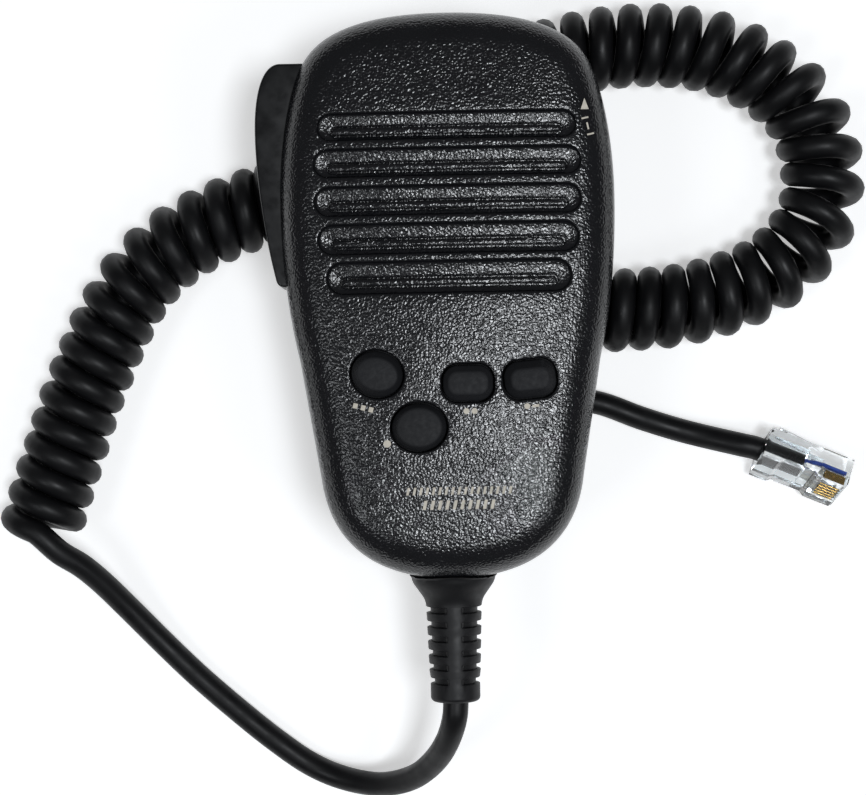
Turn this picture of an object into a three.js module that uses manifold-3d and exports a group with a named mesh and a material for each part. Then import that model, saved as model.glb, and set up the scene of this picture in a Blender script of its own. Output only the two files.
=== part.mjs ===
// Hand microphone with push-to-talk lever, keypad and curly cord, lying on its back on the cord.
// Millimetres, +Z up. The casing is drawn in its own frame: X = 0 is its middle, Y = 0 is half
// its height, Z = 0 is its flat back. The last lines shift everything so that the origin is the
// centre of the microphone's own box, without the cord and what is on the cord.

import * as THREE from 'three';
import { mergeVertices } from 'three/addons/utils/BufferGeometryUtils.js';
import Module from 'manifold-3d';

const wasm = await Module();
wasm.setup();

// ---- driving dimensions ------------------------------------------------------------------

const GAP = 0.3;
const WALL = 2.2;
const TOP_Y = 53.2;
const BOTTOM_Y = -54.4;
const HALF_WIDTH = 31.95;
const PARTING_Z = 12.6;
const FACE_EDGE_Z = 25.5;
const CROWN = 1.4;
const PLATEAU = 0.6;
const FRONT_FILLET = 7.2;
const BACK_FILLET = 6;
const OUTLINE_POINTS = 56;

const KEY_TOP_Z = 27.5;
const KEY_TRAVEL = 0.8;
const DOME_TOP_Z = 20.9;

const LEVER_OUT_X = -36.2;
const LEVER_IN_X = -26.8;
const LEVER_Z = [7, 19];
const LEVER_PIN = { x: -27.5, y: 4.5, radius: 1.2 };

const BOARD_Z = [18.4, 20];
const STUD_Y = 14;
const STUD_END_Z = -5.5;

const CORD_DIAMETER = 4.9;
const COIL_DIAMETER = 17;
const FLOOR_Z = -0.4 - COIL_DIAMETER;
const CORD_FLOOR_Z = FLOOR_Z + CORD_DIAMETER / 2;
const COIL_Z = FLOOR_Z + COIL_DIAMETER / 2;
const RELIEF = { x: -0.2, z: 13, end: -78 };

const PLUG = { length: 18.1, width: 9.65, height: 6.6, yaw: -23, roll: 60, x: 62.9, y: -31.9 };
const CONTACT_COUNT = 6;
const CONTACT_PITCH = 1.02;

// ---- materials ---------------------------------------------------------------------------

function material(color, roughness, metalness = 0, extra = {}) {
  return new THREE.MeshStandardMaterial({ color, roughness, metalness, ...extra });
}

const casingPlastic = material(0x15161a, 0.45);
const leverPlastic = material(0x111215, 0.5);
const keyRubber = material(0x202125, 0.7);
const reliefRubber = material(0x0e0f12, 0.65);
const cordRubber = material(0x0c0d10, 0.6);
const steel = material(0xa9abae, 0.35, 1);
const springSteel = material(0x8d8f93, 0.3, 1);
const gold = material(0xc9973a, 0.3, 1);
const clearPlastic = material(0xe8ecee, 0.08, 0, { transparent: true, opacity: 0.4 });
const boardGreen = material(0x1f5a35, 0.5);
const partBlack = material(0x1b1c1e, 0.4);
const whitePlastic = material(0xe5e2d8, 0.5);
const capsuleMetal = material(0xc4c6c8, 0.35, 1);
const bootRubber = material(0x242424, 0.85);
const screenCloth = material(0x101010, 0.95);

// ---- solids ------------------------------------------------------------------------------

function toSolid(geometry) {
  const bare = geometry.clone();
  bare.deleteAttribute('normal');
  bare.deleteAttribute('uv');
  const merged = mergeVertices(bare, 1e-5);
  return new wasm.Manifold(new wasm.Mesh({
    numProp: 3,
    vertProperties: new Float32Array(merged.attributes.position.array),
    triVerts: new Uint32Array(merged.index.array),
  }));
}

function toGeometry(solid) {
  const mesh = solid.getMesh();
  const geometry = new THREE.BufferGeometry();
  geometry.setAttribute('position', new THREE.BufferAttribute(mesh.vertProperties.slice(), 3));
  geometry.setIndex(new THREE.BufferAttribute(mesh.triVerts.slice(), 1));
  geometry.computeVertexNormals();
  return geometry;
}

function box(x, y, z) {
  const geometry = new THREE.BoxGeometry(x[1] - x[0], y[1] - y[0], z[1] - z[0]);
  return geometry.translate((x[0] + x[1]) / 2, (y[0] + y[1]) / 2, (z[0] + z[1]) / 2);
}

function prism(shape, z0, z1, curveSegments = 4, bevel = 0) {
  const geometry = new THREE.ExtrudeGeometry(shape, {
    depth: z1 - z0 - 2 * bevel,
    curveSegments,
    bevelEnabled: bevel > 0,
    bevelThickness: bevel,
    bevelSize: bevel,
    bevelOffset: -bevel,
    bevelSegments: 1,
  });
  return geometry.translate(0, 0, z0 + bevel);
}

function pillar(x, y, radius, z0, z1, segments = 16) {
  const geometry = new THREE.CylinderGeometry(radius, radius, z1 - z0, segments);
  return geometry.rotateX(Math.PI / 2).translate(x, y, (z0 + z1) / 2);
}

// A turned solid around Z from pairs of radius and height.
function turned(profile, segments = 20) {
  const points = profile.map(([radius, z]) => new THREE.Vector2(radius, z));
  return new THREE.LatheGeometry(points, segments).rotateX(Math.PI / 2);
}

// A closed solid through rings of equal point count, given from the lowest to the highest.
function loft(rings) {
  const count = rings[0].length;
  const positions = [];
  const index = [];
  for (const ring of rings) {
    for (const p of ring) {
      positions.push(p.x, p.y, p.z);
    }
  }
  for (let level = 0; level + 1 < rings.length; level++) {
    for (let i = 0; i < count; i++) {
      const a = level * count + i;
      const b = level * count + (i + 1) % count;
      index.push(a, b, b + count, a, b + count, a + count);
    }
  }
  const addCap = (level, up) => {
    const centre = new THREE.Vector3();
    rings[level].forEach((p) => centre.addScaledVector(p, 1 / count));
    const hub = positions.length / 3;
    positions.push(centre.x, centre.y, centre.z);
    for (let i = 0; i < count; i++) {
      const a = level * count + i;
      const b = level * count + (i + 1) % count;
      index.push(hub, up ? a : b, up ? b : a);
    }
  };
  addCap(0, false);
  addCap(rings.length - 1, true);
  const geometry = new THREE.BufferGeometry();
  geometry.setAttribute('position', new THREE.Float32BufferAttribute(positions, 3));
  geometry.setIndex(index);
  geometry.computeVertexNormals();
  return geometry;
}

function named(name, geometry, itsMaterial) {
  const mesh = new THREE.Mesh(geometry, itsMaterial);
  mesh.name = name;
  return mesh;
}

// ---- casing outline ----------------------------------------------------------------------

// Outline of the casing at its parting line, counter-clockwise from the bottom centre.
function casingShape() {
  const shape = new THREE.Shape();
  shape.moveTo(0, BOTTOM_Y);
  shape.bezierCurveTo(23.7, BOTTOM_Y, 24.76, -37.3, 25.2, -34.6);
  shape.lineTo(28.66, -13.2);
  shape.bezierCurveTo(29, -11, HALF_WIDTH, -1, HALF_WIDTH, 17.5);
  shape.bezierCurveTo(HALF_WIDTH, 29, 29.8, 38.75, 27.6, 43.2);
  shape.bezierCurveTo(24, 50.5, 14, TOP_Y, 0, TOP_Y);
  shape.bezierCurveTo(-14, TOP_Y, -24, 50.5, -27.6, 43.2);
  shape.bezierCurveTo(-29.8, 38.75, -HALF_WIDTH, 29, -HALF_WIDTH, 17.5);
  shape.bezierCurveTo(-HALF_WIDTH, -1, -29, -11, -28.66, -13.2);
  shape.lineTo(-25.2, -34.6);
  shape.bezierCurveTo(-24.76, -37.3, -23.7, BOTTOM_Y, 0, BOTTOM_Y);
  return shape;
}

const casingOutline = casingShape().getSpacedPoints(OUTLINE_POINTS).slice(0, OUTLINE_POINTS);

function insetOutline(inset) {
  return casingOutline.map((p, i) => {
    const before = casingOutline[(i + OUTLINE_POINTS - 1) % OUTLINE_POINTS];
    const after = casingOutline[(i + 1) % OUTLINE_POINTS];
    const along = after.clone().sub(before).normalize();
    return new THREE.Vector2(p.x - along.y * inset, p.y + along.x * inset);
  });
}

function ringAt(inset, z) {
  return insetOutline(inset).map((p) => new THREE.Vector3(p.x, p.y, z));
}

// The face rises from its edge, where scale is 1, to a flat plateau around its middle.
function crownRise(scale) {
  const slope = Math.max(0, (scale - PLATEAU) / (1 - PLATEAU));
  return CROWN * (1 - slope * slope);
}

// The front half's outside, moved inwards by depth: side, fillet and crowned face.
function frontBody(depth, fromZ = PARTING_Z) {
  const filletZ = FACE_EDGE_Z - FRONT_FILLET;
  const rings = [ringAt(depth, fromZ), ringAt(depth + 0.35, filletZ)];
  const filletSteps = 4;
  const filletEnd = THREE.MathUtils.degToRad(84);
  for (let step = 1; step <= filletSteps; step++) {
    const angle = filletEnd * step / filletSteps;
    const radius = FRONT_FILLET - depth;
    const inset = 0.35 + depth + radius * (1 - Math.cos(angle));
    rings.push(ringAt(inset, filletZ + radius * Math.sin(angle)));
  }
  const edge = rings[rings.length - 1];
  for (const scale of [(1 + PLATEAU) / 2, PLATEAU]) {
    rings.push(edge.map((p) => new THREE.Vector3(p.x * scale, p.y * scale, p.z + crownRise(scale))));
  }
  return loft(rings);
}

// The back half's outside, moved inwards by depth: flat back, fillet and side.
function backBody(depth, toZ) {
  const rings = [];
  const filletSteps = 4;
  for (let step = 0; step <= filletSteps; step++) {
    const angle = Math.PI / 2 * step / filletSteps;
    const radius = BACK_FILLET - depth;
    const inset = 0.35 + depth + radius * (1 - Math.sin(angle));
    rings.push(ringAt(inset, depth + radius * (1 - Math.cos(angle))));
  }
  rings.push(ringAt(depth, toZ));
  return loft(rings);
}

function faceHeight(x, y) {
  const reachX = 23;
  const reachY = 45;
  return FACE_EDGE_Z + crownRise(Math.min(1, Math.hypot(x / reachX, y / reachY)));
}

// ---- outlines of keys, grooves and openings ------------------------------------------------

function ovalShape(width, height) {
  return new THREE.Shape().absellipse(0, 0, width / 2, height / 2, 0, Math.PI * 2, false, 0);
}

function roundedShape(width, height, radius) {
  const x = width / 2;
  const y = height / 2;
  const shape = new THREE.Shape();
  shape.moveTo(-x + radius, -y);
  shape.lineTo(x - radius, -y);
  shape.absarc(x - radius, -y + radius, radius, -Math.PI / 2, 0, false);
  shape.lineTo(x, y - radius);
  shape.absarc(x - radius, y - radius, radius, 0, Math.PI / 2, false);
  shape.lineTo(-x + radius, y);
  shape.absarc(-x + radius, y - radius, radius, Math.PI / 2, Math.PI, false);
  shape.lineTo(-x, -y + radius);
  shape.absarc(-x + radius, -y + radius, radius, Math.PI, Math.PI * 1.5, false);
  return shape;
}

function slotShape(length, height) {
  return roundedShape(length, height, height / 2 - 0.001);
}

function placed(geometry, x, y, turn = 0) {
  return geometry.rotateZ(THREE.MathUtils.degToRad(turn)).translate(x, y, 0);
}

const KEYS = [
  { name: 'key_round_upper', round: true, x: -13.75, y: -15.3, turn: -15, well: [10.2, 9], top: [7.4, 5.8] },
  { name: 'key_round_lower', round: true, x: -6.1, y: -25.3, turn: 0, well: [10.7, 9.4], top: [8.1, 6.9] },
  { name: 'key_oblong_left', round: false, x: 3.1, y: -17.25, turn: 0, well: [9.9, 7.2], top: [7.2, 4.1] },
  { name: 'key_oblong_right', round: false, x: 14.65, y: -16.7, turn: 5, well: [10.2, 7.5], top: [6.9, 3.8] },
];

function keyShape(key, width, height) {
  return key.round ? ovalShape(width, height) : roundedShape(width, height, height * 0.42);
}

// Each groove is a recess with round ends; the rib in it lies a little below its middle.
const GROOVES = [
  { y: 30.7, length: 48.2, height: 5 },
  { y: 23.95, length: 49.8, height: 5.2 },
  { y: 16.85, length: 49.6, height: 5.4 },
  { y: 9.75, length: 48.5, height: 5.55 },
  { y: 2.55, length: 45.5, height: 5.9 },
];
const GROOVE_DEPTH = 1.4;
const RIB = { height: 1.25, shift: -0.85, drop: 0.45, shortBy: 5.6 };
const SOUND_SLOT = { length: 10, height: 0.8, y: 16, offset: 1.05 };

// ---- places inside -------------------------------------------------------------------------

const REAR_SCREWS = [[-19, 38.5], [20.5, 38.5], [-16.5, -36], [16.5, -36]];
const BOARD_SCREWS = [[0, 37.5], [2.5, -36]];
const POST_RADIUS = 3;
const SCREW_RADIUS = 1.25;
const TOP_KEY_X = [-8.5, 8.5];
const TOP_KEY = { width: 8, z: [13.4, 17.9] };
const CAPSULE = { x: 0, y: 17.4, radius: 4.85, z: [16.6, 23.2] };
const BOOT_RADIUS = 6.9;
const LOCK = { y: 31, z: 16.6, width: 5, height: 4, travel: 3 };
const PTT_SWITCH = { x: [-20.5, -13.5], y: [13.5, 22.5], z: [13.1, 18.1] };

// ---- casing --------------------------------------------------------------------------------

const leverWindow = toSolid(box([-42, -23], [0.6, 45.2], [LEVER_Z[0] - 0.6, LEVER_Z[1] + 0.6]));
const reliefHole = toSolid(
  new THREE.CylinderGeometry(4.9, 4.9, 8, 24).translate(RELIEF.x, BOTTOM_Y + 1, RELIEF.z),
);

function lockOpening() {
  const pocketY = [LOCK.y - LOCK.width / 2 - 0.4, LOCK.y + LOCK.width / 2 + LOCK.travel + 0.4];
  const pocketZ = [LOCK.z - LOCK.height / 2 - 0.4, LOCK.z + LOCK.height / 2 + 0.4];
  const pocket = toSolid(box([29.2, 36], pocketY, pocketZ));
  const slotY = [LOCK.y - 1.5, LOCK.y + LOCK.travel + 1.5];
  const slot = toSolid(box([26, 36], slotY, [LOCK.z - 1.3, LOCK.z + 1.3]));
  return pocket.add(slot);
}

function buildFrontShell() {
  const outside = toSolid(frontBody(0));
  const inside = toSolid(frontBody(WALL, PARTING_Z - 1));
  const trim = toSolid(frontBody(WALL / 2, 3));
  let shell = outside.subtract(inside);
  for (const [x, y] of REAR_SCREWS) {
    const post = toSolid(pillar(x, y, POST_RADIUS, 4.8, 26)).intersect(trim);
    shell = shell.add(post);
    shell = shell.subtract(toSolid(pillar(x, y, SCREW_RADIUS + GAP, 4, 15.2)));
  }
  for (const [x, y] of BOARD_SCREWS) {
    const post = toSolid(pillar(x, y, 2.6, BOARD_Z[1] + GAP, 26)).intersect(trim);
    shell = shell.add(post);
    shell = shell.subtract(toSolid(pillar(x, y, 0.9 + GAP, 15, 23.4, 12)));
  }
  const pinPost = toSolid(pillar(LEVER_PIN.x, LEVER_PIN.y, 2.7, LEVER_Z[1] + 0.6, 26)).intersect(trim);
  shell = shell.add(pinPost);
  shell = shell.subtract(leverWindow);
  shell = shell.subtract(toSolid(pillar(LEVER_PIN.x, LEVER_PIN.y, LEVER_PIN.radius + GAP, 15, 21.9, 16)));

  const grooveFloor = toSolid(frontBody(GROOVE_DEPTH, 3));
  const ribTop = toSolid(frontBody(RIB.drop, 3));
  for (const groove of GROOVES) {
    const recess = prism(slotShape(groove.length, groove.height), 18, 30);
    const channel = toSolid(placed(recess, 0, groove.y));
    const bar = prism(slotShape(groove.length - RIB.shortBy, RIB.height), 17, 31);
    const rib = toSolid(placed(bar, 0, groove.y + RIB.shift));
    shell = shell.subtract(channel.subtract(rib).subtract(grooveFloor));
    shell = shell.subtract(channel.intersect(rib).subtract(ribTop));
  }
  for (const side of [-1, 1]) {
    const slot = prism(slotShape(SOUND_SLOT.length, SOUND_SLOT.height), 20, 30);
    shell = shell.subtract(toSolid(placed(slot, 0, SOUND_SLOT.y + side * SOUND_SLOT.offset)));
  }
  for (const key of KEYS) {
    const well = prism(keyShape(key, ...key.well), 20, 30, key.round ? 10 : 3);
    shell = shell.subtract(toSolid(placed(well, key.x, key.y, key.turn)));
  }
  for (const x of TOP_KEY_X) {
    const reach = [x - TOP_KEY.width / 2 - 0.35, x + TOP_KEY.width / 2 + 0.35];
    const window = box(reach, [44, 56], [TOP_KEY.z[0] - 0.35, TOP_KEY.z[1] + 0.35]);
    shell = shell.subtract(toSolid(window));
  }
  return shell.subtract(reliefHole).subtract(lockOpening());
}

function buildRearCover() {
  const joint = PARTING_Z - GAP;
  const outside = toSolid(backBody(0, joint));
  const inside = toSolid(backBody(WALL, joint + 1));
  const trim = toSolid(backBody(WALL / 2, joint));
  let cover = outside.subtract(inside);
  for (const [x, y] of REAR_SCREWS) {
    cover = cover.add(toSolid(pillar(x, y, 4.2, 1, 4.4)).intersect(trim));
    cover = cover.subtract(toSolid(pillar(x, y, 3, -1, 2.7)));
    cover = cover.subtract(toSolid(pillar(x, y, SCREW_RADIUS + GAP, -1, 6)));
  }
  const pinPost = toSolid(pillar(LEVER_PIN.x, LEVER_PIN.y, 2.7, 1, LEVER_Z[0] - 0.6)).intersect(trim);
  cover = cover.add(pinPost);
  cover = cover.subtract(leverWindow);
  cover = cover.subtract(toSolid(pillar(LEVER_PIN.x, LEVER_PIN.y, LEVER_PIN.radius + GAP, 3.6, 8, 16)));
  cover = cover.add(toSolid(pillar(0, STUD_Y, 4.5, 1, 6.5)));
  cover = cover.subtract(toSolid(pillar(0, STUD_Y, 1.2, -1, 5.2)));
  return cover.subtract(reliefHole);
}

// ---- push to talk --------------------------------------------------------------------------

function buildLever() {
  const outline = new THREE.Shape();
  outline.moveTo(-25.6, 2.2);
  outline.lineTo(-25.6, 7);
  outline.lineTo(LEVER_IN_X, 8.5);
  outline.lineTo(LEVER_IN_X, 43.8);
  outline.lineTo(-31.2, 43.8);
  outline.bezierCurveTo(-34.9, 43.8, LEVER_OUT_X, 37.5, LEVER_OUT_X, 31);
  outline.bezierCurveTo(LEVER_OUT_X, 21, -34.3, 9.5, -32.6, 2.6);
  outline.quadraticCurveTo(-32.2, 1.5, -31, 1.5);
  outline.lineTo(-26.4, 1.5);
  const body = toSolid(prism(outline, LEVER_Z[0], LEVER_Z[1], 8, 1));
  const nose = toSolid(box([LEVER_IN_X - 1, -23.7], [16.5, 19.5], [13.6, 17.6]));
  const pinHole = toSolid(pillar(LEVER_PIN.x, LEVER_PIN.y, LEVER_PIN.radius + GAP, 0, 30, 16));
  const springRoom = toSolid(box([LEVER_PIN.x - 3, -20], [LEVER_PIN.y - 4, LEVER_PIN.y + 4.6], [11, 15]));
  return toGeometry(body.add(nose).subtract(pinHole).subtract(springRoom));
}

// Torsion spring around the lever's pin, with its two ends bent out.
function buildLeverSpring() {
  const points = [];
  const turns = 3;
  const stepsPerTurn = 10;
  const radius = 2;
  const start = { x: LEVER_PIN.x, y: LEVER_PIN.y, z: 11.9 };
  points.push(new THREE.Vector3(start.x + radius, start.y - 2.9, start.z));
  for (let i = 0; i <= turns * stepsPerTurn; i++) {
    const angle = 2 * Math.PI * i / stepsPerTurn;
    const rise = 0.72 * i / stepsPerTurn;
    points.push(new THREE.Vector3(
      start.x + radius * Math.cos(angle),
      start.y + radius * Math.sin(angle),
      start.z + rise,
    ));
  }
  points.push(new THREE.Vector3(start.x + radius, start.y + 3.4, start.z + 0.72 * turns));
  const path = new THREE.CatmullRomCurve3(points);
  const wire = new THREE.Shape().absarc(0, 0, 0.25, 0, Math.PI * 2, false);
  return new THREE.ExtrudeGeometry(wire, { steps: 36, curveSegments: 3, extrudePath: path });
}

function buildPttSwitch() {
  const body = toSolid(box(PTT_SWITCH.x, PTT_SWITCH.y, PTT_SWITCH.z));
  const bore = toSolid(box([-24, -17], [16.7, 19.3], [14.3, 16.9]));
  return toGeometry(body.subtract(bore));
}

// ---- keys ----------------------------------------------------------------------------------

function keyRing(key, width, height, z) {
  const points = keyShape(key, width, height).getSpacedPoints(24).slice(0, 24);
  return points.map((p) => new THREE.Vector3(p.x, p.y, z));
}

function buildKey(key) {
  const clearance = 2 * GAP;
  const base = key.well.map((size) => size - clearance);
  const flange = key.well.map((size) => size + 1);
  const face = faceHeight(key.x, key.y);
  const cap = loft([
    keyRing(key, ...flange, 22.4),
    keyRing(key, ...flange, 23.2),
    keyRing(key, ...base, 23.2),
    keyRing(key, ...base, face - 0.4),
    keyRing(key, key.top[0] + 0.5, key.top[1] + 0.5, KEY_TOP_Z - 0.35),
    keyRing(key, key.top[0] - 0.2, key.top[1] - 0.2, KEY_TOP_Z),
  ]);
  const stem = pillar(0, 0, 1.4, DOME_TOP_Z + KEY_TRAVEL + 0.1, 23, 12);
  return placed(toGeometry(toSolid(cap).add(toSolid(stem))), key.x, key.y, key.turn);
}

function buildDome(key) {
  const dome = turned([[0, 20.3], [2.6, 20.3], [2.6, 20.45], [1.4, 20.85], [0, DOME_TOP_Z]], 16);
  return dome.translate(key.x, key.y, 0);
}

function buildTopKey(x) {
  const half = TOP_KEY.width / 2;
  const cap = toSolid(box([x - half, x + half], [48.6, 52.1], TOP_KEY.z));
  const flange = toSolid(box([x - half - 0.8, x + half + 0.8], [47.9, 48.7], [13, 18.1]));
  const stem = toSolid(box([x - 1.2, x + 1.2], [46.7, 48.2], [14.5, 16.9]));
  return toGeometry(cap.add(flange).add(stem));
}

function buildTopSwitch(x) {
  const body = toSolid(box([x - 3, x + 3], [41.4, 45.2], [13.2, 18.1]));
  const button = toSolid(new THREE.CylinderGeometry(1.1, 1.1, 1.2, 12).translate(x, 45.2, 15.7));
  return toGeometry(body.add(button));
}

function buildLockSlider() {
  const knobY = [LOCK.y - LOCK.width / 2, LOCK.y + LOCK.width / 2];
  const knob = toSolid(box([29.4, 30.1], knobY, [LOCK.z - LOCK.height / 2, LOCK.z + LOCK.height / 2]));
  const stem = toSolid(box([25.4, 29.8], [LOCK.y - 1.1, LOCK.y + 1.1], [LOCK.z - 0.9, LOCK.z + 0.9]));
  let slider = knob.add(stem);
  for (const offset of [-1.4, 0, 1.4]) {
    const ribY = [LOCK.y + offset - 0.3, LOCK.y + offset + 0.3];
    const rib = box([30, 30.3], ribY, [LOCK.z - 1.6, LOCK.z + 1.6]);
    slider = slider.add(toSolid(rib));
  }
  return toGeometry(slider);
}

// ---- board and what is on it ---------------------------------------------------------------

function buildBoard() {
  const plate = new THREE.Shape(insetOutline(7.5));
  let board = toSolid(prism(plate, ...BOARD_Z));
  board = board.subtract(toSolid(pillar(CAPSULE.x, CAPSULE.y, BOOT_RADIUS + 0.5, 15, 25, 32)));
  for (const [x, y] of REAR_SCREWS) {
    board = board.subtract(toSolid(pillar(x, y, POST_RADIUS + 0.5, 15, 25)));
  }
  for (const [x, y] of BOARD_SCREWS) {
    board = board.subtract(toSolid(pillar(x, y, 1.2, 15, 25, 12)));
  }
  return toGeometry(board);
}

function buildBoot() {
  const { x, y, radius, z } = CAPSULE;
  const outer = toSolid(pillar(x, y, BOOT_RADIUS, z[0] - 1.4, z[1] - 0.2, 28));
  const inner = toSolid(pillar(x, y, radius + GAP, z[0] - GAP, z[1] + 1, 28));
  const wires = toSolid(pillar(x, y, 2, z[0] - 3, z[0], 12));
  return toGeometry(outer.subtract(inner).subtract(wires));
}

function buildCapsule() {
  const { x, y, radius, z } = CAPSULE;
  const can = turned([
    [0, z[0]],
    [radius - 0.3, z[0]],
    [radius, z[0] + 0.3],
    [radius, z[1] - 0.3],
    [radius - 0.3, z[1]],
    [1, z[1]],
    [1, z[1] - 0.6],
    [0, z[1] - 0.6],
  ]);
  return can.translate(x, y, 0);
}

function buildHeader() {
  const block = toSolid(box([-9, 5], [-31, -26], [13.2, 18.1]));
  const mouth = toSolid(box([-8, 4], [-30.2, -26.8], [12, 16.5]));
  return toGeometry(block.subtract(mouth));
}

// ---- fasteners and hanger ------------------------------------------------------------------

function buildPanScrew(headRadius, headZ, shankRadius, tipZ) {
  const headHeight = 1.5;
  const screw = toSolid(turned([
    [0, headZ],
    [headRadius - 0.4, headZ],
    [headRadius, headZ + 0.4],
    [headRadius, headZ + headHeight],
    [shankRadius, headZ + headHeight],
    [shankRadius, tipZ - 1],
    [0.3, tipZ],
    [0, tipZ],
  ], 14));
  const slotLong = headRadius * 0.62;
  const slotWide = headRadius * 0.16;
  const cross = toSolid(box([-slotLong, slotLong], [-slotWide, slotWide], [headZ - 1, headZ + 0.8]));
  const other = toSolid(box([-slotWide, slotWide], [-slotLong, slotLong], [headZ - 1, headZ + 0.8]));
  return toGeometry(screw.subtract(cross.add(other)));
}

function buildStud() {
  const blank = toSolid(turned([
    [0, -GAP],
    [4, -GAP],
    [4, -2.9],
    [6.1, -2.9],
    [6.5, -3.3],
    [6.5, STUD_END_Z + 0.4],
    [6.1, STUD_END_Z],
    [0, STUD_END_Z],
  ].reverse(), 24));
  const sink = toSolid(pillar(0, 0, 2.6, STUD_END_Z - 1, STUD_END_Z + 1.9));
  const bore = toSolid(pillar(0, 0, 1.2, STUD_END_Z - 1, 1, 16));
  return toGeometry(blank.subtract(sink).subtract(bore));
}

// ---- strain relief and cord ----------------------------------------------------------------

const RELIEF_RIBS = { count: 5, start: 5.4, pitch: 2.72, groove: 1.1, depth: 0.8 };
const RELIEF_LENGTH = BOTTOM_Y - RELIEF.end;

function reliefRadius(s) {
  return THREE.MathUtils.mapLinear(s, RELIEF_RIBS.start, 19, 5.3, 4.85);
}

// Distances along the strain relief are counted from the casing's bottom end, outwards.
function buildStrainRelief() {
  const profile = [[0, -3], [8.4, -3], [8.4, -0.9], [8.1, -0.5], [7.65, 1]];
  profile.push([6.75, 2.3], [5.85, 3.6], [5.45, 4.5], [5.35, RELIEF_RIBS.start]);
  for (let rib = 0; rib < RELIEF_RIBS.count; rib++) {
    const grooveStart = RELIEF_RIBS.start + rib * RELIEF_RIBS.pitch;
    const grooveEnd = grooveStart + RELIEF_RIBS.groove;
    const radius = reliefRadius(grooveEnd);
    profile.push([radius - RELIEF_RIBS.depth, grooveStart + 0.01]);
    profile.push([radius - RELIEF_RIBS.depth, grooveEnd]);
    profile.push([radius, grooveEnd + 0.01]);
    profile.push([radius, grooveStart + RELIEF_RIBS.pitch]);
  }
  const lastGroove = RELIEF_RIBS.start + RELIEF_RIBS.count * RELIEF_RIBS.pitch;
  profile.push([4, lastGroove + 0.01], [4, lastGroove + RELIEF_RIBS.groove]);
  profile.push([4.75, lastGroove + RELIEF_RIBS.groove + 0.01], [4.75, RELIEF_LENGTH - 0.8]);
  profile.push([3.9, RELIEF_LENGTH], [0, RELIEF_LENGTH]);
  const neckProfile = [[0, -5.4], [6.2, -5.4], [6.2, -3.4], [4.5, -3.4], [4.5, 1.5], [0, 1.5]];
  const lieDown = (geometry) => geometry.rotateX(Math.PI / 2).translate(RELIEF.x, BOTTOM_Y, RELIEF.z);
  const collar = toSolid(lieDown(turned(profile)));
  const neck = toSolid(lieDown(turned(neckProfile)));
  const clearBack = toSolid(backBody(-GAP, RELIEF.z));
  const clearFront = toSolid(frontBody(-GAP, RELIEF.z - 1));
  return toGeometry(collar.subtract(clearBack.add(clearFront)).add(neck));
}

// Points of the straight stretches and of the coil's middle line, laid as they lie on the floor.
const LEAD_POINTS = [
  [-0.2, -78.5, 13], [-0.4, -81, 12.7], [-1.6, -85.6, 9.4], [-4.5, -91.2, 3], [-9, -95.6, -3.6],
  [-15.6, -97.9, -9.6], [-23.2, -97.2, -13.6], [-29.7, -94.6, CORD_FLOOR_Z],
  [-36.8, -89.6, CORD_FLOOR_Z], [-45.1, -82.7, CORD_FLOOR_Z], [-52.8, -75.8, CORD_FLOOR_Z],
  [-60.1, -68.3, CORD_FLOOR_Z + 1], [-66, -61.6, CORD_FLOOR_Z + 3.4],
  [-70.9, -55.9, CORD_FLOOR_Z + 6.6], [-74.6, -52.2, CORD_FLOOR_Z + 9.2],
];

const COIL_POINTS = [
  [-83.8, -47.4], [-82.6, -43], [-80.7, -37], [-77.6, -28], [-74.6, -19], [-71.2, -11], [-67.6, -3.2],
  [-62.4, 5], [-54.6, 12], [-44.8, 17], [-36, 20], [-25, 24], [-12, 31], [4, 40], [16, 46],
  [26, 49], [36, 50.4], [46, 50.3], [56, 48.4], [65, 43.8], [71.4, 38.2], [75, 31], [76.1, 23.4],
  [75.1, 16.2], [71, 9.2], [64.6, 3.8], [56, 0.1], [46.5, -2.1], [37, -2.8], [25, -3.1], [12, -3.5],
];

const TAIL_POINTS = [
  [13.7, -15.5, CORD_FLOOR_Z + 7.4], [15.8, -18.8, CORD_FLOOR_Z + 3.8],
  [19.8, -20.2, CORD_FLOOR_Z + 1.2], [25, -20.6, CORD_FLOOR_Z], [31, -21.7, CORD_FLOOR_Z],
  [39, -24.8, CORD_FLOOR_Z], [46.5, -27.3, CORD_FLOOR_Z], [51.5, -28.7, CORD_FLOOR_Z + 0.5],
  [55.8, -29.8, CORD_FLOOR_Z + 1.9], [59.4, -30.7, CORD_FLOOR_Z + 3.1],
  [62, -31.6, CORD_FLOOR_Z + 3.4],
];

function smoothPath(points) {
  const places = points.map(([x, y, z]) => new THREE.Vector3(x, y, z));
  return new THREE.CatmullRomCurve3(places, false, 'centripetal');
}

// A tube along a route; cornerRadius reaches to the corners of its many-sided section.
function cordTube(points, cornerRadius, steps, sides) {
  const corners = [];
  for (let i = 0; i < sides; i++) {
    const angle = 2 * Math.PI * (i + 0.5) / sides;
    corners.push(new THREE.Vector2(cornerRadius * Math.cos(angle), cornerRadius * Math.sin(angle)));
  }
  const section = new THREE.Shape(corners);
  return new THREE.ExtrudeGeometry(section, { steps, extrudePath: smoothPath(points) });
}

// ---- plug ----------------------------------------------------------------------------------

// In the plug's own frame +X runs from the cord to the nose and +Z is the side of the contacts.
const NOSE = 6.3;
const LATCH = { root: PLUG.length - 0.6, tip: 2.4, drop: 2.5, thick: 0.9, width: 3.2 };

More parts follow.
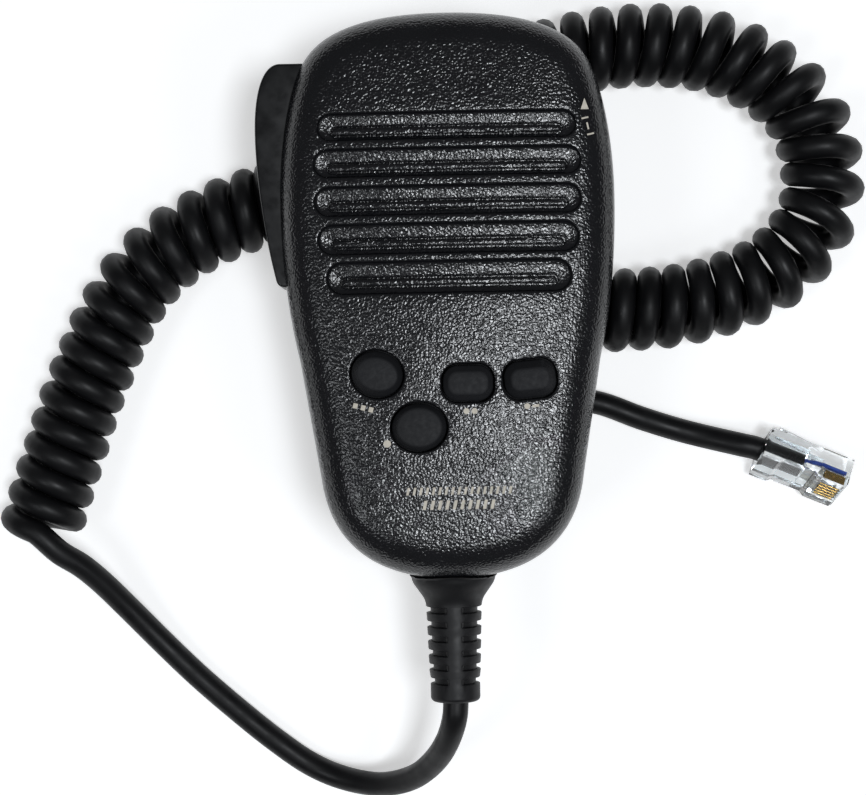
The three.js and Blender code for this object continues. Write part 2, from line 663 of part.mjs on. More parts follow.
function plugSideShape() {
  const half = PLUG.height / 2;
  const shape = new THREE.Shape();
  shape.moveTo(0.5, -half);
  shape.lineTo(PLUG.length, -half);
  shape.lineTo(PLUG.length, half - 0.6);
  shape.lineTo(PLUG.length - 0.6, half);
  shape.lineTo(PLUG.length - NOSE, half);
  shape.lineTo(PLUG.length - NOSE - 0.9, half - 0.8);
  shape.lineTo(4.6, half - 0.8);
  shape.lineTo(3.6, half);
  shape.lineTo(0, half);
  shape.lineTo(0, -half + 0.5);
  return shape;
}

function contactY(index) {
  return (index - (CONTACT_COUNT - 1) / 2) * CONTACT_PITCH;
}

function buildPlugBody() {
  const half = PLUG.width / 2;
  const side = new THREE.ExtrudeGeometry(plugSideShape(), { depth: PLUG.width, bevelEnabled: false });
  let body = toSolid(side.rotateX(Math.PI / 2).translate(0, half, 0));
  body = body.subtract(toSolid(box([-1, 9.2], [-2.9, 2.9], [-2.3, 1.9])));
  body = body.subtract(toSolid(box([9, 12.2], [-3.4, 3.4], [-1.3, 0.9])));
  for (let i = 0; i < CONTACT_COUNT; i++) {
    const y = contactY(i);
    body = body.subtract(toSolid(box([PLUG.length - 5.2, PLUG.length + 1], [y - 0.32, y + 0.32], [0.2, 5])));
  }
  return toGeometry(body);
}

function buildContact(index) {
  const y = contactY(index);
  const top = PLUG.height / 2 - 0.45;
  const blade = new THREE.Shape();
  blade.moveTo(PLUG.length - 4.8, 0.6);
  blade.lineTo(PLUG.length - 0.5, 0.6);
  blade.lineTo(PLUG.length - 0.5, top - 0.5);
  blade.lineTo(PLUG.length - 1, top);
  blade.lineTo(PLUG.length - 4.8, top);
  const geometry = new THREE.ExtrudeGeometry(blade, { depth: 0.36, bevelEnabled: false });
  return geometry.rotateX(Math.PI / 2).translate(0, y + 0.18, 0);
}

// The latch springs from the nose's underside and slopes away from the body towards the cord.
function buildLatch() {
  const under = -PLUG.height / 2 - GAP;
  const lever = new THREE.Shape();
  lever.moveTo(LATCH.root, under);
  lever.lineTo(LATCH.root - 1.5, under);
  lever.lineTo(LATCH.tip, under - LATCH.drop + LATCH.thick);
  lever.lineTo(LATCH.tip, under - LATCH.drop);
  lever.lineTo(LATCH.root - 4.5, under - LATCH.thick - 0.5);
  lever.lineTo(LATCH.root, under - LATCH.thick);
  const geometry = new THREE.ExtrudeGeometry(lever, { depth: LATCH.width, bevelEnabled: false });
  return geometry.rotateX(Math.PI / 2).translate(0, LATCH.width / 2, 0);
}

// ---- assembly ------------------------------------------------------------------------------

const mic = new THREE.Group();

function addPiece(name, geometry, itsMaterial, x = 0, y = 0, z = 0) {
  const piece = named(name, geometry, itsMaterial);
  piece.position.set(x, y, z);
  mic.add(piece);
}

function addCasing() {
  addPiece('front_shell', toGeometry(buildFrontShell()), casingPlastic);
  addPiece('rear_cover', toGeometry(buildRearCover()), casingPlastic);
  addPiece('lock_slider', buildLockSlider(), leverPlastic);
  addPiece('lock_switch', box([19.4, 25], [27.2, 35], [13.4, 18.1]), partBlack);
}

function addPushToTalk() {
  addPiece('ptt_lever', buildLever(), leverPlastic);
  addPiece('ptt_pin', pillar(LEVER_PIN.x, LEVER_PIN.y, LEVER_PIN.radius, 4, 21.5, 16), steel);
  addPiece('ptt_spring', buildLeverSpring(), springSteel);
  addPiece('ptt_switch', buildPttSwitch(), partBlack);
  addPiece('ptt_plunger', box([-23.3, -18.6], [17, 19], [14.6, 16.6]), whitePlastic);
}

function addKeys() {
  KEYS.forEach((key, i) => {
    addPiece(key.name, buildKey(key), keyRubber);
    addPiece(`key_dome_${i + 1}`, buildDome(key), springSteel);
  });
  const topKeyNames = ['down', 'up'];
  TOP_KEY_X.forEach((x, i) => {
    addPiece(`${topKeyNames[i]}_key`, buildTopKey(x), keyRubber);
    addPiece(`${topKeyNames[i]}_switch`, buildTopSwitch(x), partBlack);
  });
}

function addBoard() {
  addPiece('main_board', buildBoard(), boardGreen);
  addPiece('wire_header', buildHeader(), whitePlastic);
  addPiece('preamp_chip', box([8, 14], [-3, 3], [20.3, 21.9]), partBlack);
  addPiece('capacitor_1', pillar(-6, 0, 2.5, 12.8, 18.1, 20), partBlack);
  addPiece('capacitor_2', pillar(6, -8, 2.5, 12.8, 18.1, 20), partBlack);
  addPiece('mic_capsule', buildCapsule(), capsuleMetal);
  addPiece('capsule_boot', buildBoot(), bootRubber);
  addPiece('dust_screen', pillar(CAPSULE.x, CAPSULE.y, 8, 23.5, 23.9, 24), screenCloth);
}

function addFasteners() {
  REAR_SCREWS.forEach(([x, y], i) => {
    addPiece(`rear_screw_${i + 1}`, buildPanScrew(2.6, 0.8, SCREW_RADIUS, 14.6), steel, x, y);
  });
  BOARD_SCREWS.forEach(([x, y], i) => {
    addPiece(`board_screw_${i + 1}`, buildPanScrew(1.9, 16.6, 0.9, 23), steel, x, y);
  });
  addPiece('hanger_stud', buildStud(), steel, 0, STUD_Y);
  addPiece('hanger_screw', buildPanScrew(2.2, STUD_END_Z + 0.1, 0.9, 4.8), steel, 0, STUD_Y);
}

function addCord() {
  const cordRadius = CORD_DIAMETER / 2;
  const coilSides = 12;
  const coilCorner = COIL_DIAMETER / 2 / Math.cos(Math.PI / coilSides);
  const coilRoute = COIL_POINTS.map(([x, y]) => [x, y, COIL_Z]);
  addPiece('strain_relief', buildStrainRelief(), reliefRubber);
  addPiece('cord_lead', cordTube(LEAD_POINTS, cordRadius, 24, 10), cordRubber);
  addPiece('curly_cord', cordTube(coilRoute, coilCorner, 40, coilSides), cordRubber);
  addPiece('cord_tail', cordTube(TAIL_POINTS, cordRadius, 14, 10), cordRubber);
  const inside = [[RELIEF.x, BOTTOM_Y + 5.7, RELIEF.z], [RELIEF.x, BOTTOM_Y + 14, RELIEF.z]];
  addPiece('inner_lead', cordTube(inside, cordRadius, 2, 10), cordRubber);
  const clampRing = new THREE.Shape().absarc(0, 0, 4.2, 0, Math.PI * 2, false);
  clampRing.holes.push(new THREE.Path().absarc(0, 0, cordRadius + GAP, 0, Math.PI * 2, true));
  const clamp = prism(clampRing, 0, 4, 8).rotateX(Math.PI / 2);
  addPiece('cord_clamp', clamp, steel, RELIEF.x, BOTTOM_Y + 11.5, RELIEF.z);
}

function addPlug() {
  const yawed = new THREE.Group();
  const rolled = new THREE.Group();
  const roll = THREE.MathUtils.degToRad(PLUG.roll);
  const latchDepth = PLUG.height / 2 + GAP + LATCH.drop;
  const lowestLatch = latchDepth * Math.cos(roll) + LATCH.width / 2 * Math.sin(roll);
  const lowestEdge = PLUG.height / 2 * Math.cos(roll) + PLUG.width / 2 * Math.sin(roll);
  const axisHeight = Math.max(lowestLatch, lowestEdge);
  yawed.position.set(PLUG.x, PLUG.y, FLOOR_Z + axisHeight);
  yawed.rotation.z = THREE.MathUtils.degToRad(PLUG.yaw);
  rolled.rotation.x = roll;
  rolled.add(named('plug_body', buildPlugBody(), clearPlastic));
  rolled.add(named('plug_latch', buildLatch(), clearPlastic));
  for (let i = 0; i < CONTACT_COUNT; i++) {
    rolled.add(named(`plug_contact_${i + 1}`, buildContact(i), gold));
  }
  yawed.add(rolled);
  mic.add(yawed);
}

addCasing();
addPushToTalk();
addKeys();
addBoard();
addFasteners();
addCord();
addPlug();

mic.position.set(
  -(LEVER_OUT_X + HALF_WIDTH) / 2,
  -(TOP_Y + BOTTOM_Y) / 2,
  -(KEY_TOP_Z + STUD_END_Z) / 2,
);

const handMicrophone = new THREE.Group();
handMicrophone.add(mic);

export default handMicrophone;
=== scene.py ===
import math
from bisect import bisect

import bmesh
import bpy
from mathutils import Matrix, Vector
from mathutils.geometry import delaunay_2d_cdt

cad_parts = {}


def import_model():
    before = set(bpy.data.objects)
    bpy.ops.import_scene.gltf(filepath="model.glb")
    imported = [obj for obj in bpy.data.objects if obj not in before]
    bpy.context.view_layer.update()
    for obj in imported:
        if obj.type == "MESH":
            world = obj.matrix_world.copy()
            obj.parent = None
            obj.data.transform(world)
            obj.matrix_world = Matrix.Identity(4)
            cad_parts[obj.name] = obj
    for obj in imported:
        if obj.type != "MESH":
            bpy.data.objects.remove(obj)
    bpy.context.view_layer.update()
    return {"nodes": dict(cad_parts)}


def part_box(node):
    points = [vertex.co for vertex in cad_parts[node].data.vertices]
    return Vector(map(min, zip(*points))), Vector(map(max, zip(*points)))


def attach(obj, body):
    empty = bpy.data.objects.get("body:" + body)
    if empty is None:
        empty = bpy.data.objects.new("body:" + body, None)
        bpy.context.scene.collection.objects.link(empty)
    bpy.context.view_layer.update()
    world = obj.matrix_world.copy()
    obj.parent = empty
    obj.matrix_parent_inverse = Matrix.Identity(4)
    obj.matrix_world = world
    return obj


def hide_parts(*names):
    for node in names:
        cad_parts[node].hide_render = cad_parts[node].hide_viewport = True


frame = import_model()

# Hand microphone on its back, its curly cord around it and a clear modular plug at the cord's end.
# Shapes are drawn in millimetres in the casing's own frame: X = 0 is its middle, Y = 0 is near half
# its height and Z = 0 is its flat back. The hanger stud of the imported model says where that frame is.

MM = 0.001
STUD_Y = 14
STUD_END_Z = -5.5
stud_low, stud_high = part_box("hanger_stud")
CASING_ORIGIN = Vector((
    (stud_low.x + stud_high.x) / 2,
    (stud_low.y + stud_high.y) / 2 - STUD_Y * MM,
    stud_low.z - STUD_END_Z * MM,
))


def world(point):
    return CASING_ORIGIN + Vector(point) * MM


# ---- driving dimensions, in millimetres ------------------------------------------------------

WALL = 2.2
TOP_Y = 53.2
BOTTOM_Y = -54.4
HALF_WIDTH = 31.95
PARTING_Z = 12.6
COVER_EDGE_Z = 12.3
FACE_EDGE_Z = 25.5
SIDE_DRAFT = 0.35
CROWN = 1.5
FRONT_FILLET = 7.2
BACK_FILLET = 6
FILLET_END = math.radians(84)
KEY_TOP_Z = 27.5

LEVER_Z = (7, 19)
LEVER_PIN = (-27.5, 4.5)
TOP_KEY_X = (-8.5, 8.5)
TOP_KEY_Z = (13.4, 17.9)
REAR_SCREWS = ((-19, 38.5), (20.5, 38.5), (-16.5, -36), (16.5, -36))

CORD_DIAMETER = 4.9
COIL_DIAMETER = 17
FLOOR_Z = -0.4 - COIL_DIAMETER
CORD_FLOOR_Z = FLOOR_Z + CORD_DIAMETER / 2
COIL_Z = FLOOR_Z + COIL_DIAMETER / 2
HELIX_RADIUS = (COIL_DIAMETER - CORD_DIAMETER) / 2
HELIX_PITCH = 5.05
TURN_ROOM = 4.95

RELIEF_X = -0.2
RELIEF_Z = 13
RELIEF_END_Y = -78

PLUG_AXIS_HEIGHT = 5.829
plug_place = (
    Matrix.Translation((62.9, -31.9, FLOOR_Z + PLUG_AXIS_HEIGHT))
    @ Matrix.Rotation(math.radians(-23), 4, "Z")
    @ Matrix.Rotation(math.radians(60), 4, "X")
)
CONTACT_COUNT = 6
CONTACT_PITCH = 1.02


# ---- camera ----------------------------------------------------------------------------------

camera_data = bpy.data.cameras.new("camera")
camera_data.sensor_width = 36
camera_data.lens = 86.6
camera_data.clip_start = 0.01
camera_data.clip_end = 20
camera = bpy.data.objects.new("camera", camera_data)
camera.location = world((-3.45, -19.81, 412.4))
camera.rotation_euler = (0, 0, math.radians(-1.1))
bpy.context.scene.collection.objects.link(camera)
bpy.context.scene.camera = camera


# ---- cord ------------------------------------------------------------------------------------

LEAD_POINTS = (
    (-0.2, -78.5, 13), (-0.4, -81, 12.7), (-1.6, -85.6, 9.4), (-4.5, -91.2, 3), (-9, -95.6, -3.6),
    (-15.6, -97.9, -9.6), (-23.2, -97.2, -13.6), (-29.7, -94.6, CORD_FLOOR_Z),
    (-36.8, -89.6, CORD_FLOOR_Z), (-45.1, -82.7, CORD_FLOOR_Z), (-52.8, -75.8, CORD_FLOOR_Z),
    (-60.1, -68.3, CORD_FLOOR_Z + 1), (-66, -61.6, CORD_FLOOR_Z + 3.4),
    (-70.9, -55.9, CORD_FLOOR_Z + 6.6), (-74.6, -52.2, CORD_FLOOR_Z + 9.2),
)
COIL_POINTS = (
    (-83.8, -47.4), (-82.6, -43), (-80.7, -37), (-77.6, -28), (-74.6, -19), (-71.2, -11),
    (-67.6, -3.2), (-62.4, 5), (-54.6, 12), (-44.8, 17), (-36, 20), (-25, 24), (-12, 31), (4, 40),
    (16, 46), (26, 49), (36, 50.4), (46, 50.3), (56, 48.4), (65, 43.8), (71.4, 38.2), (75, 31),
    (76.1, 23.4), (75.1, 16.2), (71, 9.2), (64.6, 3.8), (56, 0.1), (46.5, -2.1), (37, -2.8),
    (25, -3.1), (12, -3.5),
)
TAIL_POINTS = (
    (13.7, -15.5, CORD_FLOOR_Z + 7.4), (15.8, -18.8, CORD_FLOOR_Z + 3.8),
    (19.8, -20.2, CORD_FLOOR_Z + 1.2), (25, -20.6, CORD_FLOOR_Z), (31, -21.7, CORD_FLOOR_Z),
    (39, -24.8, CORD_FLOOR_Z), (46.5, -27.3, CORD_FLOOR_Z), (51.5, -28.7, CORD_FLOOR_Z + 0.5),
    (55.8, -29.8, CORD_FLOOR_Z + 1.9), (59.4, -30.7, CORD_FLOOR_Z + 3.1),
)


def smooth_path(points, steps):
    """Centripetal Catmull-Rom curve through the points, with that many steps to a stretch."""
    points = [Vector(p) for p in points]
    before = points[0] * 2 - points[1]
    after = points[-1] * 2 - points[-2]
    ends = [before] + points + [after]
    path = []
    for p0, p1, p2, p3 in zip(ends, ends[1:], ends[2:], ends[3:]):
        t1 = (p1 - p0).length ** 0.5
        t2 = t1 + (p2 - p1).length ** 0.5
        t3 = t2 + (p3 - p2).length ** 0.5
        for step in range(steps):
            t = t1 + (t2 - t1) * step / steps
            a1 = p0.lerp(p1, t / t1)
            a2 = p1.lerp(p2, (t - t1) / (t2 - t1))
            a3 = p2.lerp(p3, (t - t2) / (t3 - t2))
            b1 = a1.lerp(a2, t / t2)
            b2 = a2.lerp(a3, (t - t1) / (t3 - t1))
            path.append(b1.lerp(b2, (t - t1) / (t2 - t1)))
    path.append(points[-1])
    return path


def coil_path(steps_per_turn):
    """The wire of the coil: a left-handed helix round the coil's middle line, from top to top."""
    line = smooth_path([(x, y, COIL_Z) for x, y in COIL_POINTS], 40)
    lengths = [0.0]
    for a, b in zip(line, line[1:]):
        lengths.append(lengths[-1] + (b - a).length)
    overlap = CORD_DIAMETER / 2
    first, last = overlap, lengths[-1] - overlap

    def at(s):
        i = min(bisect(lengths, s), len(line) - 1)
        i = max(i, 1)
        share = (s - lengths[i - 1]) / (lengths[i] - lengths[i - 1])
        return line[i - 1].lerp(line[i], share)

    def heading(s, reach=2.0):
        low, high = max(s - reach, 0), min(s + reach, lengths[-1])
        return (at(high) - at(low)).normalized()

    step = 0.2
    count = int((last - first) / step)
    stations = [first + (last - first) * i / count for i in range(count + 1)]
    turned = [0.0]
    for a, b in zip(stations, stations[1:]):
        bend = (heading(b + 4) - heading(a - 4)).length / (8 + b - a)
        pitch = max(HELIX_PITCH, TURN_ROOM / (1 - HELIX_RADIUS * bend))
        turned.append(turned[-1] + (b - a) / pitch)
    turns = round(turned[-1])
    turned = [t * turns / turned[-1] for t in turned]
    path = []
    for i in range(turns * steps_per_turn + 1):
        turn = i / steps_per_turn
        k = max(1, min(bisect(turned, turn), len(turned) - 1))
        share = (turn - turned[k - 1]) / (turned[k] - turned[k - 1])
        s = stations[k - 1] + (stations[k] - stations[k - 1]) * share
        along = heading(s)
        left = Vector((-along.y, along.x, 0))
        angle = math.pi / 2 - 2 * math.pi * turn
        out = left * math.cos(angle) + Vector((0, 0, 1)) * math.sin(angle)
        path.append(at(s) + out * HELIX_RADIUS)
    return path


HELIX_STEPS = 24
coil = coil_path(HELIX_STEPS)
lead_in = (-78.6, -49.3, CORD_FLOOR_Z + 11.3)
lead = smooth_path(((-0.2, -75, 13),) + LEAD_POINTS + (lead_in, coil[0], coil[3]), 5)[:-6]
plug_end = [plug_place @ Vector((x, 0, -0.2)) for x in (-1, 3, 8.8)]
tail_start = (13.2, -9.7, CORD_FLOOR_Z + 10.9)
tail = smooth_path((coil[-4], coil[-1], tail_start) + TAIL_POINTS + tuple(plug_end), 5)[6:]
route = lead + coil + tail


def make_cord():
    curve = bpy.data.curves.new("cord", "CURVE")
    curve.dimensions = "3D"
    curve.bevel_depth = CORD_DIAMETER / 2 * MM
    curve.bevel_resolution = 5
    curve.use_fill_caps = True
    spline = curve.splines.new("POLY")
    spline.points.add(len(route) - 1)
    for point, place in zip(spline.points, route):
        point.co = (*world(place), 1)
    inside_plug = 8
    for point in spline.points[-inside_plug:]:
        point.radius = 0.85
    spline.use_smooth = True
    cord = bpy.data.objects.new("cord", curve)
    bpy.context.scene.collection.objects.link(cord)
    return cord


cord = make_cord()


# ---- meshes ----------------------------------------------------------------------------------

def inside(x, y, loop):
    """Whether a point lies inside a closed loop of points."""
    odd = False
    previous = loop[-1]
    for corner in loop:
        if (corner[1] > y) != (previous[1] > y):
            cross = (previous[0] - corner[0]) * (y - corner[1]) / (previous[1] - corner[1])
            if x < corner[0] + cross:
                odd = not odd
        previous = corner
    return odd


class Shape:
    """Points in casing millimetres and faces, put together from rings and flat sheets."""

    def __init__(self):
        self.points = []
        self.faces = []

    def ring(self, points):
        first = len(self.points)
        self.points.extend(Vector(p) for p in points)
        return list(range(first, len(self.points)))

    def bridge(self, a, b):
        count = len(a)
        for i in range(count):
            j = (i + 1) % count
            self.faces.append((a[i], a[j], b[j], b[i]))

    def tube(self, rings, start=None):
        """Rings joined one to the next; start is a ring that is already there. Gives the last."""
        last = start
        for points in rings:
            ring = self.ring(points)
            if last:
                self.bridge(last, ring)
            last = ring
        return last

    def fan(self, ring, centre):
        hub = self.ring([centre])[0]
        count = len(ring)
        for i in range(count):
            self.faces.append((ring[i], ring[(i + 1) % count], hub))

    def sheet(self, border, holes=(), lines=(), spots=()):
        """Triangles between a border and holes, both rings, through lines and loose points."""
        ids = []
        edges = []
        for loop in (border, *holes, *[self.ring(line) for line in lines]):
            first = len(ids)
            ids.extend(loop)
            edges.extend((first + i, first + (i + 1) % len(loop)) for i in range(len(loop)))
        ids.extend(self.ring(spots))
        flat = [Vector((self.points[i].x, self.points[i].y)) for i in ids]
        places, drawn, triangles, sources, drawn_from, _ = delaunay_2d_cdt(flat, edges, [], 0, 1e-7)
        final = []
        for place, source in zip(places, sources):
            if source:
                final.append(ids[source[0]])
            else:
                height = min(ids, key=lambda i: (self.points[i].xy - place).length)
                final.append(self.ring([(place.x, place.y, self.points[height].z)])[0])
        # from the hull inwards: each border or hole line crossed turns outside into inside and back
        rims = len(border) + sum(len(hole) for hole in holes)
        walls = {frozenset(pair): sum(e < rims for e in came_from)
                 for pair, came_from in zip(drawn, drawn_from)}
        beside = {}
        for t, (a, b, c) in enumerate(triangles):
            for pair in ((a, b), (b, c), (c, a)):
                beside.setdefault(frozenset(pair), []).append(t)
        filled = {found[0]: walls.get(pair, 0) % 2 for pair, found in beside.items() if len(found) == 1}
        todo = list(filled)
        while todo:
            t = todo.pop()
            a, b, c = triangles[t]
            for pair in (frozenset((a, b)), frozenset((b, c)), frozenset((c, a))):
                for other in beside[pair]:
                    if other not in filled:
                        filled[other] = (filled[t] + walls.get(pair, 0)) % 2
                        todo.append(other)
        self.faces.extend(tuple(final[i] for i in triangle)
                          for t, triangle in enumerate(triangles) if filled[t])


def finish_mesh(mesh, sharp_degrees):
    """Smooth shading that breaks at edges sharper than that, and normals that point outwards."""
    work = bmesh.new()
    work.from_mesh(mesh)
    bmesh.ops.remove_doubles(work, verts=work.verts, dist=2e-7)
    bmesh.ops.recalc_face_normals(work, faces=work.faces)
    limit = math.radians(sharp_degrees)
    for face in work.faces:
        face.smooth = True
    for edge in work.edges:
        edge.smooth = len(edge.link_faces) == 2 and edge.calc_face_angle(0) < limit
    work.to_mesh(mesh)
    work.free()


def add_object(name, shape, sharp_degrees=38):
    mesh = bpy.data.meshes.new(name)
    mesh.from_pydata([world(p) for p in shape.points], [], shape.faces)
    finish_mesh(mesh, sharp_degrees)
    obj = bpy.data.objects.new(name, mesh)
    bpy.context.scene.collection.objects.link(obj)
    return obj


def carve(obj, cutters, operation="DIFFERENCE", sharp_degrees=38):
    """The object's mesh with the cutters taken away from it or added to it.

    Blender skips a cut, with no more than a warning, if the object's mesh isn't closed.
    """
    for shape in cutters:
        tool = add_object("tool", shape)
        change = obj.modifiers.new("change", "BOOLEAN")
        change.object = tool
        change.operation = operation
        change.solver = "MANIFOLD"
        graph = bpy.context.evaluated_depsgraph_get()
        mesh = bpy.data.meshes.new_from_object(obj.evaluated_get(graph))
        obj.modifiers.clear()
        if len(mesh.polygons) < 4:
            raise RuntimeError("nothing is left of " + obj.name)
        obj.data = mesh
        bpy.data.objects.remove(tool)
    finish_mesh(obj.data, sharp_degrees)


def block(x, y, z):
    """A plain box for cutting, from ranges."""
    shape = Shape()
    corners = ((x[0], y[0]), (x[1], y[0]), (x[1], y[1]), (x[0], y[1]))
    low = shape.ring([(a, b, z[0]) for a, b in corners])
    high = shape.ring([(a, b, z[1]) for a, b in corners])
    shape.bridge(low, high)
    shape.faces.append(tuple(reversed(low)))
    shape.faces.append(tuple(high))
    return shape


def circle(x, y, z, radius, count=48):
    angles = [2 * math.pi * i / count for i in range(count)]
    return [(x + radius * math.cos(a), y + radius * math.sin(a), z) for a in angles]


def turned(profile, place=Matrix.Identity(4), count=48):
    """A closed turned shape round Z, from pairs of radius and height; radius 0 closes an end."""
    shape = Shape()
    last = None
    for radius, z in profile:
        if radius == 0:
            if last is not None:
                shape.fan(last, place @ Vector((0, 0, z)))
                return shape
            tip = place @ Vector((0, 0, z))
            continue
        ring = shape.ring([place @ Vector(p) for p in circle(0, 0, z, radius, count)])
        if last is None:
            shape.fan(ring, tip)
        else:
            shape.bridge(last, ring)
        last = ring
    return shape


def bezier(points, steps):
    """A curve of any degree through its control points, without its last point."""
    path = []
    for step in range(steps):
        t = step / steps
        level = [Vector(p) for p in points]
        while len(level) > 1:
            level = [a.lerp(b, t) for a, b in zip(level, level[1:])]
        path.append(level[0])
    return path


def outline(start, stretches, steps):
    """A closed outline: each stretch gives its control points, and a straight one only its end."""
    path = []
    here = start
    for stretch in stretches:
        path.extend(bezier((here, *stretch), steps if len(stretch) > 1 else max(1, steps // 8)))
        here = stretch[-1]
    return path


def respaced(loop, count):
    """A closed outline's points at equal distances."""
    closed = loop + [loop[0]]
    lengths = [0.0]
    for a, b in zip(closed, closed[1:]):
        lengths.append(lengths[-1] + (b - a).length)
    spaced = []
    for i in range(count):
        s = lengths[-1] * i / count
        k = bisect(lengths, s)
        share = (s - lengths[k - 1]) / (lengths[k] - lengths[k - 1])
        spaced.append(closed[k - 1].lerp(closed[k], share))
    return spaced


def inset(loop, depth):
    """A counter-clockwise outline moved inwards, with its corners kept where they belong."""
    moved = []
    count = len(loop)
    for i, here in enumerate(loop):
        back = (here - loop[i - 1]).normalized()
        on = (loop[(i + 1) % count] - here).normalized()
        along = (back + on).normalized()
        reach = depth / max(0.5, along.dot(on))
        moved.append(here + Vector((-along.y, along.x)) * reach)
    return moved


def lifted(loop, z):
    return [(p.x, p.y, z) for p in loop]


# ---- casing ----------------------------------------------------------------------------------

CASING_COUNT = 288
half_outline = (
    ((23.7, BOTTOM_Y), (24.76, -37.3), (25.2, -34.6)),
    ((28.66, -13.2),),
    ((29, -11), (HALF_WIDTH, -1), (HALF_WIDTH, 17.5)),
    ((HALF_WIDTH, 29), (29.8, 38.75), (27.6, 43.2)),
    ((24, 50.5), (14, TOP_Y), (0, TOP_Y)),
)


def mirrored(start, stretches):
    """The same stretches on the other side, walked back to the start."""
    stops = [start] + [stretch[-1] for stretch in stretches]
    back = []
    for stop, stretch in zip(reversed(stops[:-1]), reversed(stretches)):
        controls = list(reversed(stretch[:-1])) + [stop]
        back.append(tuple((-x, y) for x, y in controls))
    return tuple(back)


casing_start = (0, BOTTOM_Y)
casing_loop = respaced(
    outline(casing_start, half_outline + mirrored(casing_start, half_outline), 64),
    CASING_COUNT,
)


def casing_ring(depth, z):
    return lifted(inset(casing_loop, depth), z)


def front_rings(depth):
    """Side and fillet of the front half, moved inwards by depth, from the parting line up."""
    fillet_z = FACE_EDGE_Z - FRONT_FILLET
    radius = FRONT_FILLET - depth
    rings = [casing_ring(depth + SIDE_DRAFT * i / 3, PARTING_Z + 0.3 + (fillet_z - 12.9) * i / 3)
             for i in range(4)]
    steps = 14
    for step in range(1, steps + 1):
        angle = FILLET_END * step / steps
        across = SIDE_DRAFT + depth + radius * (1 - math.cos(angle))
        rings.append(casing_ring(across, fillet_z + radius * math.sin(angle)))
    return rings


face_loop = inset(casing_loop, SIDE_DRAFT + FRONT_FILLET * (1 - math.cos(FILLET_END)))
face_polar = sorted((math.atan2(p.y, p.x), p.length) for p in face_loop)
face_angles = [angle for angle, _ in face_polar]


def face_height(x, y):
    """The crowned face, without its grooves."""
    k = bisect(face_angles, math.atan2(y, x)) % len(face_polar)
    edge = face_polar[k][1]
    scale = min(1, math.hypot(x, y) / edge)
    edge_z = FACE_EDGE_Z - FRONT_FILLET * (1 - math.sin(FILLET_END))
    return edge_z + CROWN * (1 - scale * scale)


def on_face(loop, drop):
    return [(x, y, face_height(x, y) - drop) for x, y in loop]


# Middle, length and height of each groove's recess. A slit runs round the rib in its lower half.
GROOVES = ((30.7, 48.2, 5), (23.95, 49.8, 5.2), (16.85, 49.6, 5.4), (9.75, 48.5, 5.55), (2.55, 45.5, 5.9))
RIB_SHIFT = -0.85
RIB_SHORT_BY = 5.6
SLIT_RADIUS = 0.95
SLIT_REACH_LOSS = 0.62
# Pairs of distance outwards from the recess's outline and drop under the face.
GROOVE_LIP = ((0.5, 0), (0.27, 0.03), (0.1, 0.13))
# Pairs of the share of the way from the recess's outline to the slit's and drop under the face.
GROOVE_SLOPE = (
    (0, 0.28), (0.04, 0.55), (0.1, 0.75), (0.2, 0.86), (0.5, 1.0), (0.8, 1.12), (0.96, 1.2), (1, 1.3),
)
# Pairs of distance inwards from the slit's outline and drop under the face, over the rib's edge.
RIB_PROFILE = ((0.04, 1.8), (0.28, 1.8), (0.31, 0.8), (0.36, 0.6), (0.45, 0.52))
RIB_DROP = 0.48


def slot_loop(y, length, height, grow):
    """Outline of a slot with round ends, as wide apart as its straight sides are long."""
    radius = height / 2 + grow
    reach = (length - height) / 2
    straight, bend = 20, 12
    loop = []
    for side in (1, -1):
        for i in range(straight):
            loop.append((side * reach * (1 - 2 * i / straight), y + side * radius))
        for i in range(bend):
            angle = math.pi / 2 + math.pi * i / bend
            loop.append((side * (radius * math.cos(angle) - reach), y + side * radius * math.sin(angle)))
    return loop


def groove_loop(groove, share, grow=0.0):
    """Outline at that share of the way from a groove's recess to the slit round its rib."""
    y, length, height = groove
    radius = height / 2 + (SLIT_RADIUS - height / 2) * share + grow
    recess_reach = (length - height) / 2
    slit_reach = (length - RIB_SHORT_BY) / 2 - SLIT_REACH_LOSS
    reach = recess_reach + (slit_reach - recess_reach) * share
    return slot_loop(y + RIB_SHIFT * share, 2 * (reach + radius), 2 * radius, 0)


def in_recess(x, y, groove, grow):
    middle, length, height = groove
    reach = (length - height) / 2
    return math.hypot(max(0, abs(x) - reach), y - middle) < height / 2 + grow


KEYS = (
    ("key_round_upper", True, -13.75, -15.3, -15, (10.2, 9), (7.4, 5.8)),
    ("key_round_lower", True, -6.1, -25.3, 0, (10.7, 9.4), (8.1, 6.9)),
    ("key_oblong_left", False, 3.1, -17.25, 0, (9.9, 7.2), (7.2, 4.1)),
    ("key_oblong_right", False, 14.65, -16.7, 5, (10.2, 7.5), (6.9, 3.8)),
)
WELL_LIP = ((0.5, 0), (0.27, 0.03), (0.1, 0.13))
WELL_DROP = 0.42


def key_loop(key, size, grow=0.0):
    """Outline of a key or its well round the key's middle: an oval, or a box with round corners."""
    _, is_round, x, y, turn, _, _ = key
    across, high = size[0] / 2 + grow, size[1] / 2 + grow
    loop = []
    corner = 0.84 * high
    for i in range(64):
        angle = 2 * math.pi * i / 64
        cos, sin = math.cos(angle), math.sin(angle)
        if is_round:
            loop.append((across * cos, high * sin))
        else:
            loop.append((
                math.copysign(across - corner, cos) + corner * cos,
                math.copysign(high - corner, sin) + corner * sin,
            ))
    turn = math.radians(turn)
    return [
        (x + px * math.cos(turn) - py * math.sin(turn), y + px * math.sin(turn) + py * math.cos(turn))
        for px, py in loop
    ]


SOUND_SLOT_Y = 16
SOUND_SLOT_OFFSET = 0.79
SOUND_SLOT = (10, 0.18)
SLIT_DROP = 1.8


